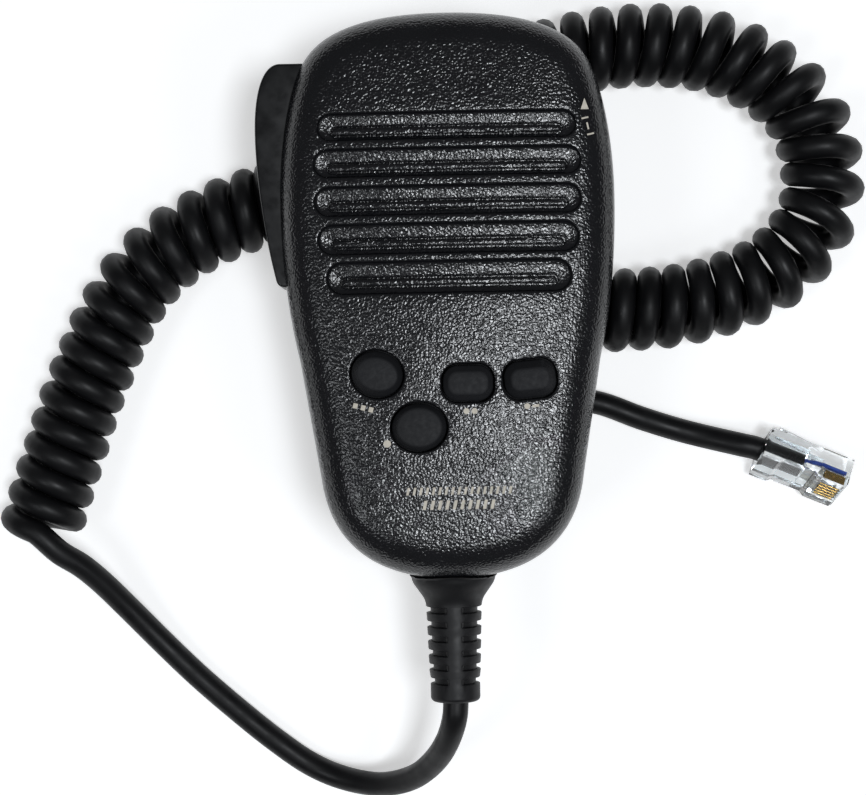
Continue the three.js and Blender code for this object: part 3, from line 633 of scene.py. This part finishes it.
def sound_slot(side, grow=0.0):
    return slot_loop(SOUND_SLOT_Y + side * SOUND_SLOT_OFFSET, *SOUND_SLOT, grow)


def face_spots(spacing, margin):
    """A grid of loose points that keeps the crown round, away from everything drawn on the face."""
    spots = []
    border = inset(face_loop, 0.9)
    wells = [key_loop(key, key[5], margin) for key in KEYS]
    rows = int(2 * TOP_Y / spacing)
    for row in range(rows):
        y = BOTTOM_Y + (row + 0.5) * spacing
        shift = spacing / 2 * (row % 2)
        for column in range(int(2 * HALF_WIDTH / spacing)):
            x = -HALF_WIDTH + column * spacing + shift
            if not inside(x, y, border):
                continue
            if any(in_recess(x, y, groove, margin) for groove in GROOVES):
                continue
            if any(inside(x, y, well) for well in wells):
                continue
            spots.append((x, y))
    return spots


def make_front_shell():
    shape = Shape()
    rim = shape.ring(casing_ring(0.16, PARTING_Z))
    outer = shape.tube(front_rings(0), rim)
    lines = []
    for groove in GROOVES:
        lines += [on_face(groove_loop(groove, 0, grow), drop) for grow, drop in GROOVE_LIP]
        lines += [on_face(groove_loop(groove, share), drop) for share, drop in GROOVE_SLOPE]
        lines += [on_face(groove_loop(groove, 1, -depth), drop) for depth, drop in RIB_PROFILE]
    wells = []
    for key in KEYS:
        for grow, drop in WELL_LIP:
            lines.append(on_face(key_loop(key, key[5], grow), drop))
        wells.append(shape.ring(on_face(key_loop(key, key[5]), WELL_DROP)))
    slots = [shape.ring(on_face(sound_slot(side), SLIT_DROP)) for side in (-1, 1)]
    spots = on_face(face_spots(2.1, 0.75), 0)
    for y, length, _ in GROOVES:
        reach = (length - RIB_SHORT_BY) / 2 - SLIT_REACH_LOSS
        spots += on_face([(reach * (i / 10 - 1), y + RIB_SHIFT) for i in range(21)], RIB_DROP)
    shape.sheet(outer, wells + slots, lines, spots)

    inner_start = shape.ring(casing_ring(WALL, PARTING_Z))
    shape.bridge(rim, inner_start)
    inner = shape.tube(front_rings(WALL), inner_start)
    under = []
    for key, well in zip(KEYS, wells):
        low = shape.ring(on_face(key_loop(key, key[5], -0.06), WALL))
        shape.bridge(well, low)
        under.append(low)
    for side, slot in zip((-1, 1), slots):
        low = shape.ring(on_face(sound_slot(side), WALL))
        shape.bridge(slot, low)
        under.append(low)
    spots = [(x, y, z) for x, y, z in on_face(face_spots(5, 0.6), WALL)
             if inside(x, y, inset(casing_loop, 9))]
    shape.sheet(inner, under, (), spots)
    shell = add_object("casing_front", shape)

    # The shell isn't quite closed where grooves cross the border of its flat sheet, so Blender
    # skips these cuts with a warning: the openings are missing for now.
    stem_slot = block((26, 36), (29.5, 35.5), (15.3, 17.9))
    cutters = [lever_window(), relief_hole(), lock_pocket(), stem_slot]
    cutters += [
        block((x - 4.35, x + 4.35), (44, 56), (TOP_KEY_Z[0] - 0.35, TOP_KEY_Z[1] + 0.35))
        for x in TOP_KEY_X
    ]
    carve(shell, cutters)
    return shell


def lever_window():
    return block((-42, -23), (0.6, 45.2), (LEVER_Z[0] - 0.6, LEVER_Z[1] + 0.6))


def relief_hole():
    lie_down = Matrix.Translation((RELIEF_X, BOTTOM_Y + 6, RELIEF_Z)) @ Matrix.Rotation(math.pi / 2, 4, "X")
    return turned(((0, 0), (4.9, 0), (4.9, 9), (0, 9)), lie_down)


LOCK_POCKET_X = (29.2, 36)
LOCK_POCKET_CORNER = 0.8


def lock_pocket():
    """A pocket with round corners for the lock's knob, open to the side."""
    loop = []
    for i in range(32):
        angle = 2 * math.pi * i / 32
        cos, sin = math.cos(angle), math.sin(angle)
        loop.append((
            32.5 + math.copysign(3.6, cos) + LOCK_POCKET_CORNER * cos,
            16.6 + math.copysign(1.6, sin) + LOCK_POCKET_CORNER * sin,
        ))
    shape = Shape()
    inner = shape.ring([(LOCK_POCKET_X[0], y, z) for y, z in loop])
    outer = shape.ring([(LOCK_POCKET_X[1], y, z) for y, z in loop])
    shape.bridge(inner, outer)
    shape.faces.append(tuple(reversed(inner)))
    shape.faces.append(tuple(outer))
    return shape


def back_rings(depth, step_range):
    """Fillet of the back half, moved inwards by depth; step 0 is the side and the last the back."""
    radius = BACK_FILLET - depth
    steps = 12
    rings = []
    for step in step_range:
        angle = math.pi / 2 * step / steps
        across = SIDE_DRAFT + depth + radius * (1 - math.cos(angle))
        rings.append(casing_ring(across, depth + radius * (1 - math.sin(angle))))
    return rings


def make_rear_cover():
    shape = Shape()
    rim = shape.ring(casing_ring(0.16, COVER_EDGE_Z))
    sides = [casing_ring(SIDE_DRAFT * i / 3, 12.05 - i * 2) for i in range(3)]
    outer = shape.tube(sides + back_rings(0, range(13)), rim)
    holes = []
    floors = []
    for x, y in REAR_SCREWS:
        lip = shape.ring(circle(x, y, 0, 3.12, 40))
        recess = shape.tube([circle(x, y, 0.12, 3, 40), circle(x, y, 2.7, 3, 40)], lip)
        bore = shape.tube([circle(x, y, 2.7, 1.55, 40), circle(x, y, 4.4, 1.55, 40)], recess)
        holes.append(lip)
        floors.append((x, y, 4.2, 4.4, bore, 40))
    lip = shape.ring(circle(0, STUD_Y, 0, 1.2, 32))
    bore = shape.tube([circle(0, STUD_Y, 5.2, 1.2, 32)], lip)
    holes.append(lip)
    shape.fan(bore, (0, STUD_Y, 5.2))
    shape.sheet(outer, holes)

    joint = [
        casing_ring(2.5, COVER_EDGE_Z), casing_ring(2.5, 13.2),
        casing_ring(3.2, 13.2), casing_ring(3.2, 11), casing_ring(2.3, 10),
    ]
    inner = shape.tube(joint + back_rings(WALL, range(13)), rim)
    bosses = []
    for x, y, radius, top, bore, count in floors:
        upper = shape.tube([circle(x, y, top, radius, count)], bore)
        bosses.append(shape.tube([circle(x, y, WALL, radius, count)], upper))
    foot = shape.ring(circle(0, STUD_Y, WALL, 4.5, 32))
    top = shape.tube([circle(0, STUD_Y, 6.5, 4.5, 32)], foot)
    shape.fan(top, (0, STUD_Y, 6.5))
    shape.sheet(inner, bosses + [foot])
    cover = add_object("casing_back", shape)
    # skipped by Blender too: the screw recesses reach past the border of the flat back
    carve(cover, [lever_window(), relief_hole()])
    return cover


# ---- lever and keys --------------------------------------------------------------------------

lever_outline = outline((-25.6, 2.2), (
    ((-25.6, 7),), ((-26.8, 8.5),), ((-26.8, 43.8),), ((-31.2, 43.8),),
    ((-34.9, 43.8), (-36.2, 37.5), (-36.2, 31)),
    ((-36.2, 21), (-34.3, 9.5), (-32.6, 2.6)),
    ((-32.2, 1.5), (-31, 1.5)),
    ((-26.4, 1.5),), ((-25.6, 2.2),),
), 40)


def rounded_rings(loop, low, high, radius, steps=6):
    """Rings of an upright form with its lower and upper edges rounded."""
    rings = []
    for end, side in ((low, 1), (high, -1)):
        part = []
        for step in range(steps + 1):
            angle = math.pi / 2 * step / steps
            across = radius * (1 - math.sin(angle))
            part.append(lifted(inset(loop, across), end + side * radius * (1 - math.cos(angle))))
        rings += part if side == 1 else part[::-1]
    return rings


def make_lever():
    shape = Shape()
    rings = [shape.ring(points) for points in rounded_rings(lever_outline, *LEVER_Z, 0.5)]
    for a, b in zip(rings, rings[1:]):
        shape.bridge(a, b)
    shape.sheet(rings[0])
    shape.sheet(rings[-1])
    lever = add_object("ptt_lever_body", shape, 50)
    x, y = LEVER_PIN
    pin_hole = Shape()
    low = pin_hole.ring(circle(x, y, 0, 1.5, 32))
    high = pin_hole.ring(circle(x, y, 30, 1.5, 32))
    pin_hole.bridge(low, high)
    pin_hole.faces += [tuple(reversed(low)), tuple(high)]
    carve(lever, [block((-27.8, -23.7), (16.5, 19.5), (13.6, 17.6))], "UNION", 50)
    carve(lever, [pin_hole, block((x - 3, -20), (y - 4, y + 4.6), (11, 15))], "DIFFERENCE", 50)
    return lever


def make_key(key):
    name, _, x, y, _, well, top = key
    shape = Shape()
    face = face_height(x, y)
    levels = (
        ((well[0] + 1, well[1] + 1), 22.4), ((well[0] + 1, well[1] + 1), 23.2),
        ((well[0] - 0.6, well[1] - 0.6), 23.2), ((well[0] - 0.6, well[1] - 0.6), face - 0.55),
        ((well[0] - 0.75, well[1] - 0.75), face - 0.35), ((well[0] - 1.1, well[1] - 1.1), face - 0.12),
        ((top[0] + 0.75, top[1] + 0.75), KEY_TOP_Z - 0.5),
        ((top[0] + 0.42, top[1] + 0.42), KEY_TOP_Z - 0.28),
        ((top[0] + 0.1, top[1] + 0.1), KEY_TOP_Z - 0.16), ((top[0] - 0.5, top[1] - 0.5), KEY_TOP_Z - 0.1),
        ((top[0] * 0.6, top[1] * 0.6), KEY_TOP_Z - 0.03), ((top[0] * 0.25, top[1] * 0.25), KEY_TOP_Z),
    )
    rings = [shape.ring([(a, b, z) for a, b in key_loop(key, size)]) for size, z in levels]
    for a, b in zip(rings, rings[1:]):
        shape.bridge(a, b)
    shape.fan(rings[-1], (x, y, KEY_TOP_Z))
    foot = shape.tube([circle(x, y, 22.4, 1.4, 64), circle(x, y, 21.8, 1.4, 64)], rings[0])
    shape.fan(foot, (x, y, 21.8))
    return add_object(name + "_cap", shape, 50)


# ---- strain relief, fasteners and plug -------------------------------------------------------

RELIEF_COLLAR = (
    (8.03, -0.1), (7.95, 0.3), (7.65, 1), (7.2, 1.65), (6.75, 2.3), (6.28, 2.95), (5.85, 3.6),
    (5.6, 4.1), (5.45, 4.6), (5.37, 5), (5.35, 5.25),
)
RIB_START, RIB_PITCH, RIB_GROOVE, RIB_DEPTH, RIB_COUNT = 5.4, 2.72, 1.1, 0.8, 5
RELIEF_LENGTH = BOTTOM_Y - RELIEF_END_Y
RELIEF_AROUND = 120


def relief_radius(s):
    return 5.3 + (4.85 - 5.3) * (s - RIB_START) / (19 - RIB_START)


def relief_levels():
    """Distance from the casing's end, radius of the webs there and of the grooves between them."""
    levels = [(s, r, r) for r, s in RELIEF_COLLAR]
    for rib in range(RIB_COUNT + 1):
        start = RIB_START + rib * RIB_PITCH
        outer = relief_radius(start) if rib < RIB_COUNT else 4.75
        for s, share in ((-0.12, 0), (-0.03, 0.1), (0.02, 0.35), (0.07, 1)):
            levels.append((start + s, outer, outer - RIB_DEPTH * share))
        for s, share in ((-0.07, 1), (-0.02, 0.35), (0.03, 0.1), (0.12, 0)):
            levels.append((start + RIB_GROOVE + s, outer, outer - RIB_DEPTH * share))
    for step in range(7):
        angle = math.pi / 2 * step / 6
        radius = 3.85 + 0.9 * math.cos(angle)
        levels.append((RELIEF_LENGTH - 0.9 + 0.9 * math.sin(angle), radius, radius))
    return levels


def make_relief():
    """The relief runs down the mic's axis; its grooves stop at a web on the front and the back."""
    shape = Shape()
    angles = [2 * math.pi * i / RELIEF_AROUND for i in range(RELIEF_AROUND)]
    web = math.radians(17)
    edge = math.radians(5)

    def share_of_groove(angle):
        off_web = min(abs((angle - side + math.pi) % (2 * math.pi) - math.pi)
                      for side in (math.pi / 2, -math.pi / 2))
        return min(1, max(0, (off_web - web) / edge))

    def ring(s, web_radius, groove_radius):
        points = []
        for angle in angles:
            radius = web_radius + (groove_radius - web_radius) * share_of_groove(angle)
            across, up = radius * math.cos(angle), radius * math.sin(angle)
            points.append((RELIEF_X + across, BOTTOM_Y - s, RELIEF_Z + up))
        return points

    def collar_ring(radius, lift):
        """A ring that follows the casing's round end."""
        points = []
        for angle in angles:
            x, z = RELIEF_X + radius * math.cos(angle), RELIEF_Z + radius * math.sin(angle)
            points.append((x, casing_end_y(x, z) - lift, z))
        return points

    def plain(radius, s):
        return ring(s, radius, radius)

    collar = [plain(4.5, -3.4), plain(4.5, -1)]
    collar += [collar_ring(4.6, 0.3), collar_ring(8.3, 0.3), collar_ring(8.4, 0.38), collar_ring(8.14, 0.6)]
    rings = collar + [ring(*level) for level in relief_levels()]
    rings += [plain(2.55, RELIEF_LENGTH), plain(2.5, RELIEF_LENGTH - 0.15), plain(2.5, RELIEF_LENGTH - 4)]
    neck = [plain(6.2, -3.4), plain(6.2, -5.4)]
    first = shape.ring(neck[1])
    shape.fan(first, (RELIEF_X, BOTTOM_Y + 5.4, RELIEF_Z))
    last = shape.tube([neck[0]] + rings, first)
    shape.fan(last, (RELIEF_X, BOTTOM_Y - RELIEF_LENGTH + 4, RELIEF_Z))
    return add_object("strain_relief_boot", shape, 40)


def casing_end_y(x, z):
    """Where the casing's bottom end is at that place across and above its back."""
    over = min(casing_loop, key=lambda p: (p.x - x) ** 2 + (0 if p.y < 0 else 1e6))
    if z > FACE_EDGE_Z - FRONT_FILLET:
        rise = min(1, (z - FACE_EDGE_Z + FRONT_FILLET) / FRONT_FILLET)
        across = SIDE_DRAFT + FRONT_FILLET * (1 - math.sqrt(1 - rise * rise))
    elif z < BACK_FILLET:
        rise = min(1, (BACK_FILLET - z) / BACK_FILLET)
        across = SIDE_DRAFT + BACK_FILLET * (1 - math.sqrt(1 - rise * rise))
    else:
        across = SIDE_DRAFT * 0.5
    return over.y + across


def make_pan_screw(name, x, y, head_radius, head_z, shank_radius, tip_z):
    """A pan head screw that points up, with a cross recess in its domed head."""
    profile = [(0, head_z)]
    for share, lift in (
        (0.35, 0.01), (0.6, 0.06), (0.78, 0.16), (0.9, 0.32), (0.97, 0.55), (1, 0.85), (1, 1.5),
    ):
        profile.append((head_radius * share, head_z + lift))
    thread = 0.55
    z = head_z + 1.5
    profile.append((shank_radius * 0.8, z))
    while z + thread < tip_z - 1:
        profile.append((shank_radius * 0.8, z + 0.1))
        profile.append((shank_radius, z + thread / 2))
        z += thread
    profile += [(shank_radius * 0.8, tip_z - 1), (0.3, tip_z), (0, tip_z)]
    screw = add_object(name + "_cross", turned(profile, Matrix.Translation((x, y, 0)), 40), 30)
    long, wide = head_radius * 0.62, head_radius * 0.15
    cross = Shape()
    loop = []
    for turn in range(4):
        cos, sin = ((1, 0), (0, 1), (-1, 0), (0, -1))[turn]
        for a, b in ((wide, -wide), (long, -wide), (long, wide)):
            loop.append((x + a * cos - b * sin, y + a * sin + b * cos))
    low = cross.ring([(a, b, head_z - 0.5) for a, b in loop])
    high = cross.ring([((a - x) * 0.75 + x, (b - y) * 0.75 + y, head_z + 1.05) for a, b in loop])
    cross.bridge(low, high)
    cross.faces += [tuple(reversed(low)), tuple(high)]
    carve(screw, [cross], sharp_degrees=30)
    return screw


def make_stud():
    profile = (
        (1.25, -0.3), (3.85, -0.3), (4, -0.45), (4, -2.75), (4.15, -2.9), (6.1, -2.9), (6.35, -3.0),
        (6.5, -3.25), (6.5, -5.1), (6.4, -5.35), (6.1, -5.5), (2.85, -5.5), (2.65, -5.4), (2.6, -5.2),
        (2.6, -3.6), (1.25, -3.6),
    )
    shape = Shape()
    rings = [shape.ring(circle(0, STUD_Y, z, radius, 64)) for radius, z in profile]
    for a, b in zip(rings, rings[1:] + rings[:1]):
        shape.bridge(a, b)
    return add_object("hanger_button", shape, 30)


def make_wire(name, points, radius):
    """A short round wire through points in the plug's own frame."""
    path = smooth_path([plug_place @ Vector(p) for p in points], 6)
    shape = Shape()
    rings = []
    side = plug_place.to_3x3() @ Vector((0, 1, 0))
    for i, here in enumerate(path):
        along = (path[min(i + 1, len(path) - 1)] - path[max(i - 1, 0)]).normalized()
        across = (side - along * side.dot(along)).normalized()
        up = along.cross(across)
        rings.append([here + (across * math.cos(a) + up * math.sin(a)) * radius
                      for a in (2 * math.pi * k / 16 for k in range(16))])
    first = shape.ring(rings[0])
    last = shape.tube(rings[1:], first)
    shape.fan(first, path[0])
    shape.fan(last, path[-1])
    return add_object(name, shape, 50)


# ---- printed marks ---------------------------------------------------------------------------

def make_mark(shape, outline_points, spacing=0.5):
    """A thin patch of print that lies on the crowned face."""
    loop = []
    for a, b in zip(outline_points, outline_points[1:] + outline_points[:1]):
        parts = max(1, round(math.dist(a, b) / spacing))
        loop += [(a[0] + (b[0] - a[0]) * i / parts, a[1] + (b[1] - a[1]) * i / parts) for i in range(parts)]
    low = shape.ring(on_face(loop, 0.03))
    high = shape.ring(on_face(loop, -0.03))
    shape.bridge(low, high)
    shape.sheet(low)
    shape.sheet(high)


def rectangle(x, y, width, height, turn=0.0):
    turn = math.radians(turn)
    corners = ((-1, -1), (1, -1), (1, 1), (-1, 1))
    return [(x + a * width / 2 * math.cos(turn) - b * height / 2 * math.sin(turn),
             y + a * width / 2 * math.sin(turn) + b * height / 2 * math.cos(turn)) for a, b in corners]


def disc(x, y, radius):
    return [(a, b) for a, b, _ in circle(x, y, 0, radius, 20)]


def hatch(shape, x, y, width, height, count, stroke):
    """A row of slanted strokes between x and x + width."""
    step = width / (count - 1)
    lean = height * 0.22
    for i in range(count):
        low_x = x + i * step - lean / 2
        make_mark(shape, [
            (low_x - stroke / 2, y - height / 2), (low_x + stroke / 2, y - height / 2),
            (low_x + lean + stroke / 2, y + height / 2), (low_x + lean - stroke / 2, y + height / 2),
        ])


def make_marks():
    """Plain signs for the printed ones: an arrow and bars at the lock, dots and bars at the keys."""
    shape = Shape()
    make_mark(shape, [(25, 33.2), (26.5, 33.2), (25.72, 35.3)])
    for i in range(3):
        make_mark(shape, rectangle(25.75 + i * 0.5, 31.6 - i * 1.5, 1.3, 0.3, 12 - 90 * (i % 2)))
    for i in range(3):
        make_mark(shape, rectangle(-17.9 + i * 1.45, -21.1 - i * 0.39, 0.85, 0.95, -15))
    make_mark(shape, disc(-12.1, -28.25, 0.7))
    for x, y in ((2.7, -22.45), (4.2, -22.45), (14.0, -21.75)):
        make_mark(shape, disc(x, y, 0.55))
    make_mark(shape, rectangle(15.6, -21.7, 1.3, 0.5, 5))
    hatch(shape, -8.4, -37.2, 19, 1.4, 17, 0.46)
    hatch(shape, -5.3, -39.8, 12.6, 1.7, 10, 0.6)
    return add_object("printed_marks", shape, 50)


# ---- materials -------------------------------------------------------------------------------

def make_material(
    name, colour, roughness, metallic=0.0, specular=0.5, tone=0.15, tone_scale=140,
    grain_scale=1500, grain_depth=0.02, grain_detail=2, grain_warp=0.0, roughness_spread=0.06,
    wear=0.0,
):
    """Colour that varies in patches, wear on edges, uneven gloss and a grain of that depth in mm."""
    material = bpy.data.materials.new(name)
    material.use_nodes = True
    nodes, links = material.node_tree.nodes, material.node_tree.links
    shader = nodes["Principled BSDF"]
    shader.inputs["Metallic"].default_value = metallic
    shader.inputs["Specular IOR Level"].default_value = specular
    place = nodes.new("ShaderNodeTexCoord").outputs["Object"]

    def noise(scale, detail, warp=0.0):
        node = nodes.new("ShaderNodeTexNoise")
        node.inputs["Scale"].default_value = scale
        node.inputs["Detail"].default_value = detail
        node.inputs["Distortion"].default_value = warp
        links.new(place, node.inputs["Vector"])
        return node.outputs["Fac"]

    def spread(value, low, high, start=0.3, end=0.7):
        node = nodes.new("ShaderNodeMapRange")
        node.inputs["From Min"].default_value = start
        node.inputs["From Max"].default_value = end
        node.inputs["To Min"].default_value = low
        node.inputs["To Max"].default_value = high
        links.new(value, node.inputs["Value"])
        return node.outputs["Result"]

    def mix(share, a, b):
        node = nodes.new("ShaderNodeMix")
        node.data_type = "RGBA"
        links.new(share, node.inputs["Factor"])
        for value, socket in ((a, node.inputs["A"]), (b, node.inputs["B"])):
            if isinstance(value, tuple):
                socket.default_value = (*value, 1)
            else:
                links.new(value, socket)
        return node.outputs["Result"]

    dark = tuple(c * (1 - tone) for c in colour)
    light = tuple(min(1, c * (1 + tone)) for c in colour)
    shade = mix(spread(noise(tone_scale, 3), 0, 1), dark, light)
    if wear:
        edges = nodes.new("ShaderNodeNewGeometry").outputs["Pointiness"]
        worn = tuple(min(1, c * 2.2 + 0.02) for c in colour)
        shade = mix(spread(edges, 0, wear, 0.52, 0.62), shade, worn)
    links.new(shade, shader.inputs["Base Color"])
    grain = noise(grain_scale, grain_detail, grain_warp)
    gloss = spread(noise(grain_scale * 0.4, 2), roughness - roughness_spread, roughness + roughness_spread)
    links.new(gloss, shader.inputs["Roughness"])
    bump = nodes.new("ShaderNodeBump")
    bump.inputs["Distance"].default_value = grain_depth * MM
    links.new(grain, bump.inputs["Height"])
    links.new(bump.outputs["Normal"], shader.inputs["Normal"])
    return material


def make_clear_material(name, tint, roughness):
    """Clear moulded plastic with faint flow marks."""
    material = make_material(
        name, tint, roughness, tone=0.03, grain_scale=400, grain_depth=0.004, roughness_spread=0.02)
    shader = material.node_tree.nodes["Principled BSDF"]
    shader.inputs["Transmission Weight"].default_value = 1.0
    shader.inputs["IOR"].default_value = 1.49
    return material


casing_plastic = make_material(
    "casing_plastic", (0.007, 0.0074, 0.009), 0.2, tone=0.12, grain_scale=2300,
    grain_depth=0.105, grain_detail=0, grain_warp=0.4, roughness_spread=0.03, wear=0.12)
lever_plastic = make_material(
    "lever_plastic", (0.006, 0.0063, 0.0072), 0.3, specular=0.4, tone=0.1, grain_scale=900,
    grain_depth=0.008, wear=0.15)
key_rubber = make_material(
    "key_rubber", (0.011, 0.0115, 0.0135), 0.62, specular=0.25, tone=0.12, grain_scale=2600,
    grain_depth=0.03, wear=0.2)
relief_rubber = make_material(
    "relief_rubber", (0.006, 0.006, 0.007), 0.5, specular=0.3, tone=0.15, grain_scale=1200,
    grain_depth=0.02, wear=0.15)
cord_jacket = make_material(
    "cord_jacket", (0.0042, 0.0043, 0.005), 0.46, specular=0.25, tone=0.2, tone_scale=60,
    grain_scale=700, grain_depth=0.02, roughness_spread=0.08)
steel = make_material(
    "steel", (0.55, 0.56, 0.58), 0.3, metallic=1.0, tone=0.08, grain_scale=2500, grain_depth=0.006)
dark_steel = make_material(
    "dark_steel", (0.09, 0.09, 0.095), 0.38, metallic=1.0, tone=0.12,
    grain_scale=2500, grain_depth=0.01, wear=0.3)
spring_steel = make_material(
    "spring_steel", (0.35, 0.36, 0.38), 0.28, metallic=1.0, tone=0.1, grain_scale=1800, grain_depth=0.006)
gold = make_material(
    "gold_contact", (0.78, 0.5, 0.16), 0.24, metallic=1.0, tone=0.12, grain_scale=3000, grain_depth=0.004)
board_green = make_material(
    "circuit_board", (0.012, 0.09, 0.035), 0.4, tone=0.3, tone_scale=700, grain_scale=900, grain_depth=0.02)
black_moulding = make_material(
    "black_moulding", (0.015, 0.015, 0.016), 0.45, tone=0.2, grain_scale=2000, grain_depth=0.02)
white_moulding = make_material(
    "white_moulding", (0.72, 0.7, 0.63), 0.45, tone=0.05, grain_scale=1600, grain_depth=0.01)
capsule_can = make_material(
    "capsule_can", (0.6, 0.6, 0.62), 0.33, metallic=1.0, tone=0.08, grain_scale=1500, grain_depth=0.01)
boot_rubber = make_material(
    "boot_rubber", (0.016, 0.016, 0.016), 0.8, tone=0.2, grain_scale=1500, grain_depth=0.04)
screen_cloth = make_material(
    "screen_cloth", (0.006, 0.006, 0.006), 0.9, tone=0.4, tone_scale=4000,
    grain_scale=4000, grain_depth=0.08)
cream_print = make_material(
    "cream_print", (0.66, 0.61, 0.52), 0.7, tone=0.12, tone_scale=1500, grain_scale=1800, grain_depth=0.03)
clear_plastic = make_clear_material("clear_plug", (0.93, 0.96, 0.98), 0.06)
WIRE_COLOURS = (
    (0.8, 0.79, 0.75), (0.78, 0.76, 0.66), (0.7, 0.7, 0.7),
    (0.8, 0.74, 0.7), (0.75, 0.75, 0.72), (0.02, 0.08, 0.5),
)


# ---- pieces ----------------------------------------------------------------------------------

def settle(piece, material, body, slot, *nodes):
    """Gives a piece its material and the body that it rides, and hides the nodes it stands for; slot is not
    used.
    """
    piece.data.materials.clear()
    piece.data.materials.append(material)
    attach(piece, body)
    if nodes:
        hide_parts(*nodes)


settle(make_front_shell(), casing_plastic, "casing", "casing", "front_shell")
settle(make_rear_cover(), casing_plastic, "casing", "casing", "rear_cover")
settle(make_lever(), lever_plastic, "ptt_lever", "lever", "ptt_lever")
for key in KEYS:
    settle(make_key(key), key_rubber, key[0], "key_rubber", key[0])
settle(make_relief(), relief_rubber, "casing", "relief_rubber", "strain_relief")
for i, (x, y) in enumerate(REAR_SCREWS, 1):
    screw = make_pan_screw(f"rear_screw_{i}", x, y, 2.6, 0.8, 1.25, 14.6)
    settle(screw, dark_steel, "casing", "steel", f"rear_screw_{i}")
settle(make_pan_screw("hanger_screw", 0, STUD_Y, 2.2, STUD_END_Z + 0.1, 0.9, 4.8),
       dark_steel, "casing", "steel", "hanger_screw")
settle(make_stud(), steel, "casing", "steel", "hanger_stud")
settle(make_marks(), cream_print, "casing", "casing")
settle(cord, cord_jacket, "casing", "cord_jacket", "cord_lead", "curly_cord", "cord_tail")

for i, colour in enumerate(WIRE_COLOURS):
    y = (i - (CONTACT_COUNT - 1) / 2) * CONTACT_PITCH
    points = (
        (8.6, y * 0.62, -0.2), (9.8, y * 0.8, -0.25), (11.2, y, -0.35), (14, y, -0.35), (17.5, y, -0.35),
    )
    wire = make_wire(f"plug_wire_{i + 1}", points, 0.4)
    tint = make_material(f"wire_{i + 1}", colour, 0.4, tone=0.1, grain_scale=1500, grain_depth=0.01)
    settle(wire, tint, "casing", "cord_jacket")

contacts = [f"plug_contact_{i}" for i in range(1, CONTACT_COUNT + 1)]
NODES_BY_MATERIAL = (
    (lever_plastic, ["lock_slider"]),
    (key_rubber, ["up_key", "down_key"]),
    (steel, ["ptt_pin", "board_screw_1", "board_screw_2", "cord_clamp"]),
    (spring_steel, ["ptt_spring", *[f"key_dome_{i}" for i in range(1, 5)]]),
    (black_moulding, ["ptt_switch", "lock_switch", "up_switch", "down_switch"]),
    (black_moulding, ["preamp_chip", "capacitor_1", "capacitor_2"]),
    (white_moulding, ["ptt_plunger", "wire_header"]),
    (board_green, ["main_board"]),
    (capsule_can, ["mic_capsule"]),
    (boot_rubber, ["capsule_boot"]),
    (screen_cloth, ["dust_screen"]),
    (cord_jacket, ["inner_lead"]),
    (clear_plastic, ["plug_body", "plug_latch"]),
    (gold, contacts),
)
for material, names in NODES_BY_MATERIAL:
    for name in names:
        for material_slot in frame["nodes"][name].material_slots:
            material_slot.material = material

ROUNDED_NODES = {
    "lock_slider": 0.08, "up_key": 0.45, "down_key": 0.45, "plug_body": 0.14, "plug_latch": 0.12,
}
for name, width in ROUNDED_NODES.items():
    node = frame["nodes"][name]
    edge = node.modifiers.new("edges", "BEVEL")
    edge.width = width * MM
    edge.segments = 3
    edge.limit_method = "ANGLE"
    edge.angle_limit = math.radians(35)


# ---- floor and light -------------------------------------------------------------------------

def make_floor():
    reach = 20
    z = world((0, 0, FLOOR_Z)).z - 0.0001
    mesh = bpy.data.meshes.new("floor")
    corners = [(-reach, -reach, z), (reach, -reach, z), (reach, reach, z), (-reach, reach, z)]
    mesh.from_pydata(corners, [], [(0, 1, 2, 3)])
    floor = bpy.data.objects.new("floor", mesh)
    bpy.context.scene.collection.objects.link(floor)
    paper = make_material(
        "paper", (0.92, 0.92, 0.92), 0.85, specular=0.1, tone=0.01, tone_scale=20, grain_scale=60,
        grain_depth=0.01)
    glow = paper.node_tree.nodes["Principled BSDF"].inputs
    glow["Emission Color"].default_value = (1, 1, 1, 1)
    glow["Emission Strength"].default_value = 0.46
    mesh.materials.append(paper)


def add_light(name, place, target, size, power):
    """A soft rectangular light, in metres from the middle of the casing, aimed at a point."""
    data = bpy.data.lights.new(name, "AREA")
    data.shape = "RECTANGLE"
    data.size, data.size_y = size
    data.energy = power
    data.color = (0.93, 0.965, 1)
    light = bpy.data.objects.new(name, data)
    light.location = place
    direction = Vector(target) - Vector(place)
    light.rotation_mode = "QUATERNION"
    light.rotation_quaternion = direction.to_track_quat("-Z", "Y")
    bpy.context.scene.collection.objects.link(light)


make_floor()
add_light("key_light", (0.24, -0.14, 1.3), (0, -0.02, 0), (0.3, 0.24), 7.8)
add_light("left_light", (-0.45, -0.25, 0.8), (0, 0, 0), (0.25, 0.3), 1.2)
add_light("right_light", (0.5, -0.35, 0.8), (0, 0, 0), (0.2, 0.3), 0.8)
world_light = bpy.data.worlds.new("studio")
world_light.use_nodes = True
world_light.node_tree.nodes["Background"].inputs["Color"].default_value = (1, 1, 1, 1)
world_light.node_tree.nodes["Background"].inputs["Strength"].default_value = 0.1
bpy.context.scene.world = world_light
bpy.context.scene.view_settings.view_transform = "Standard"
bpy.context.scene.view_settings.look = "None"
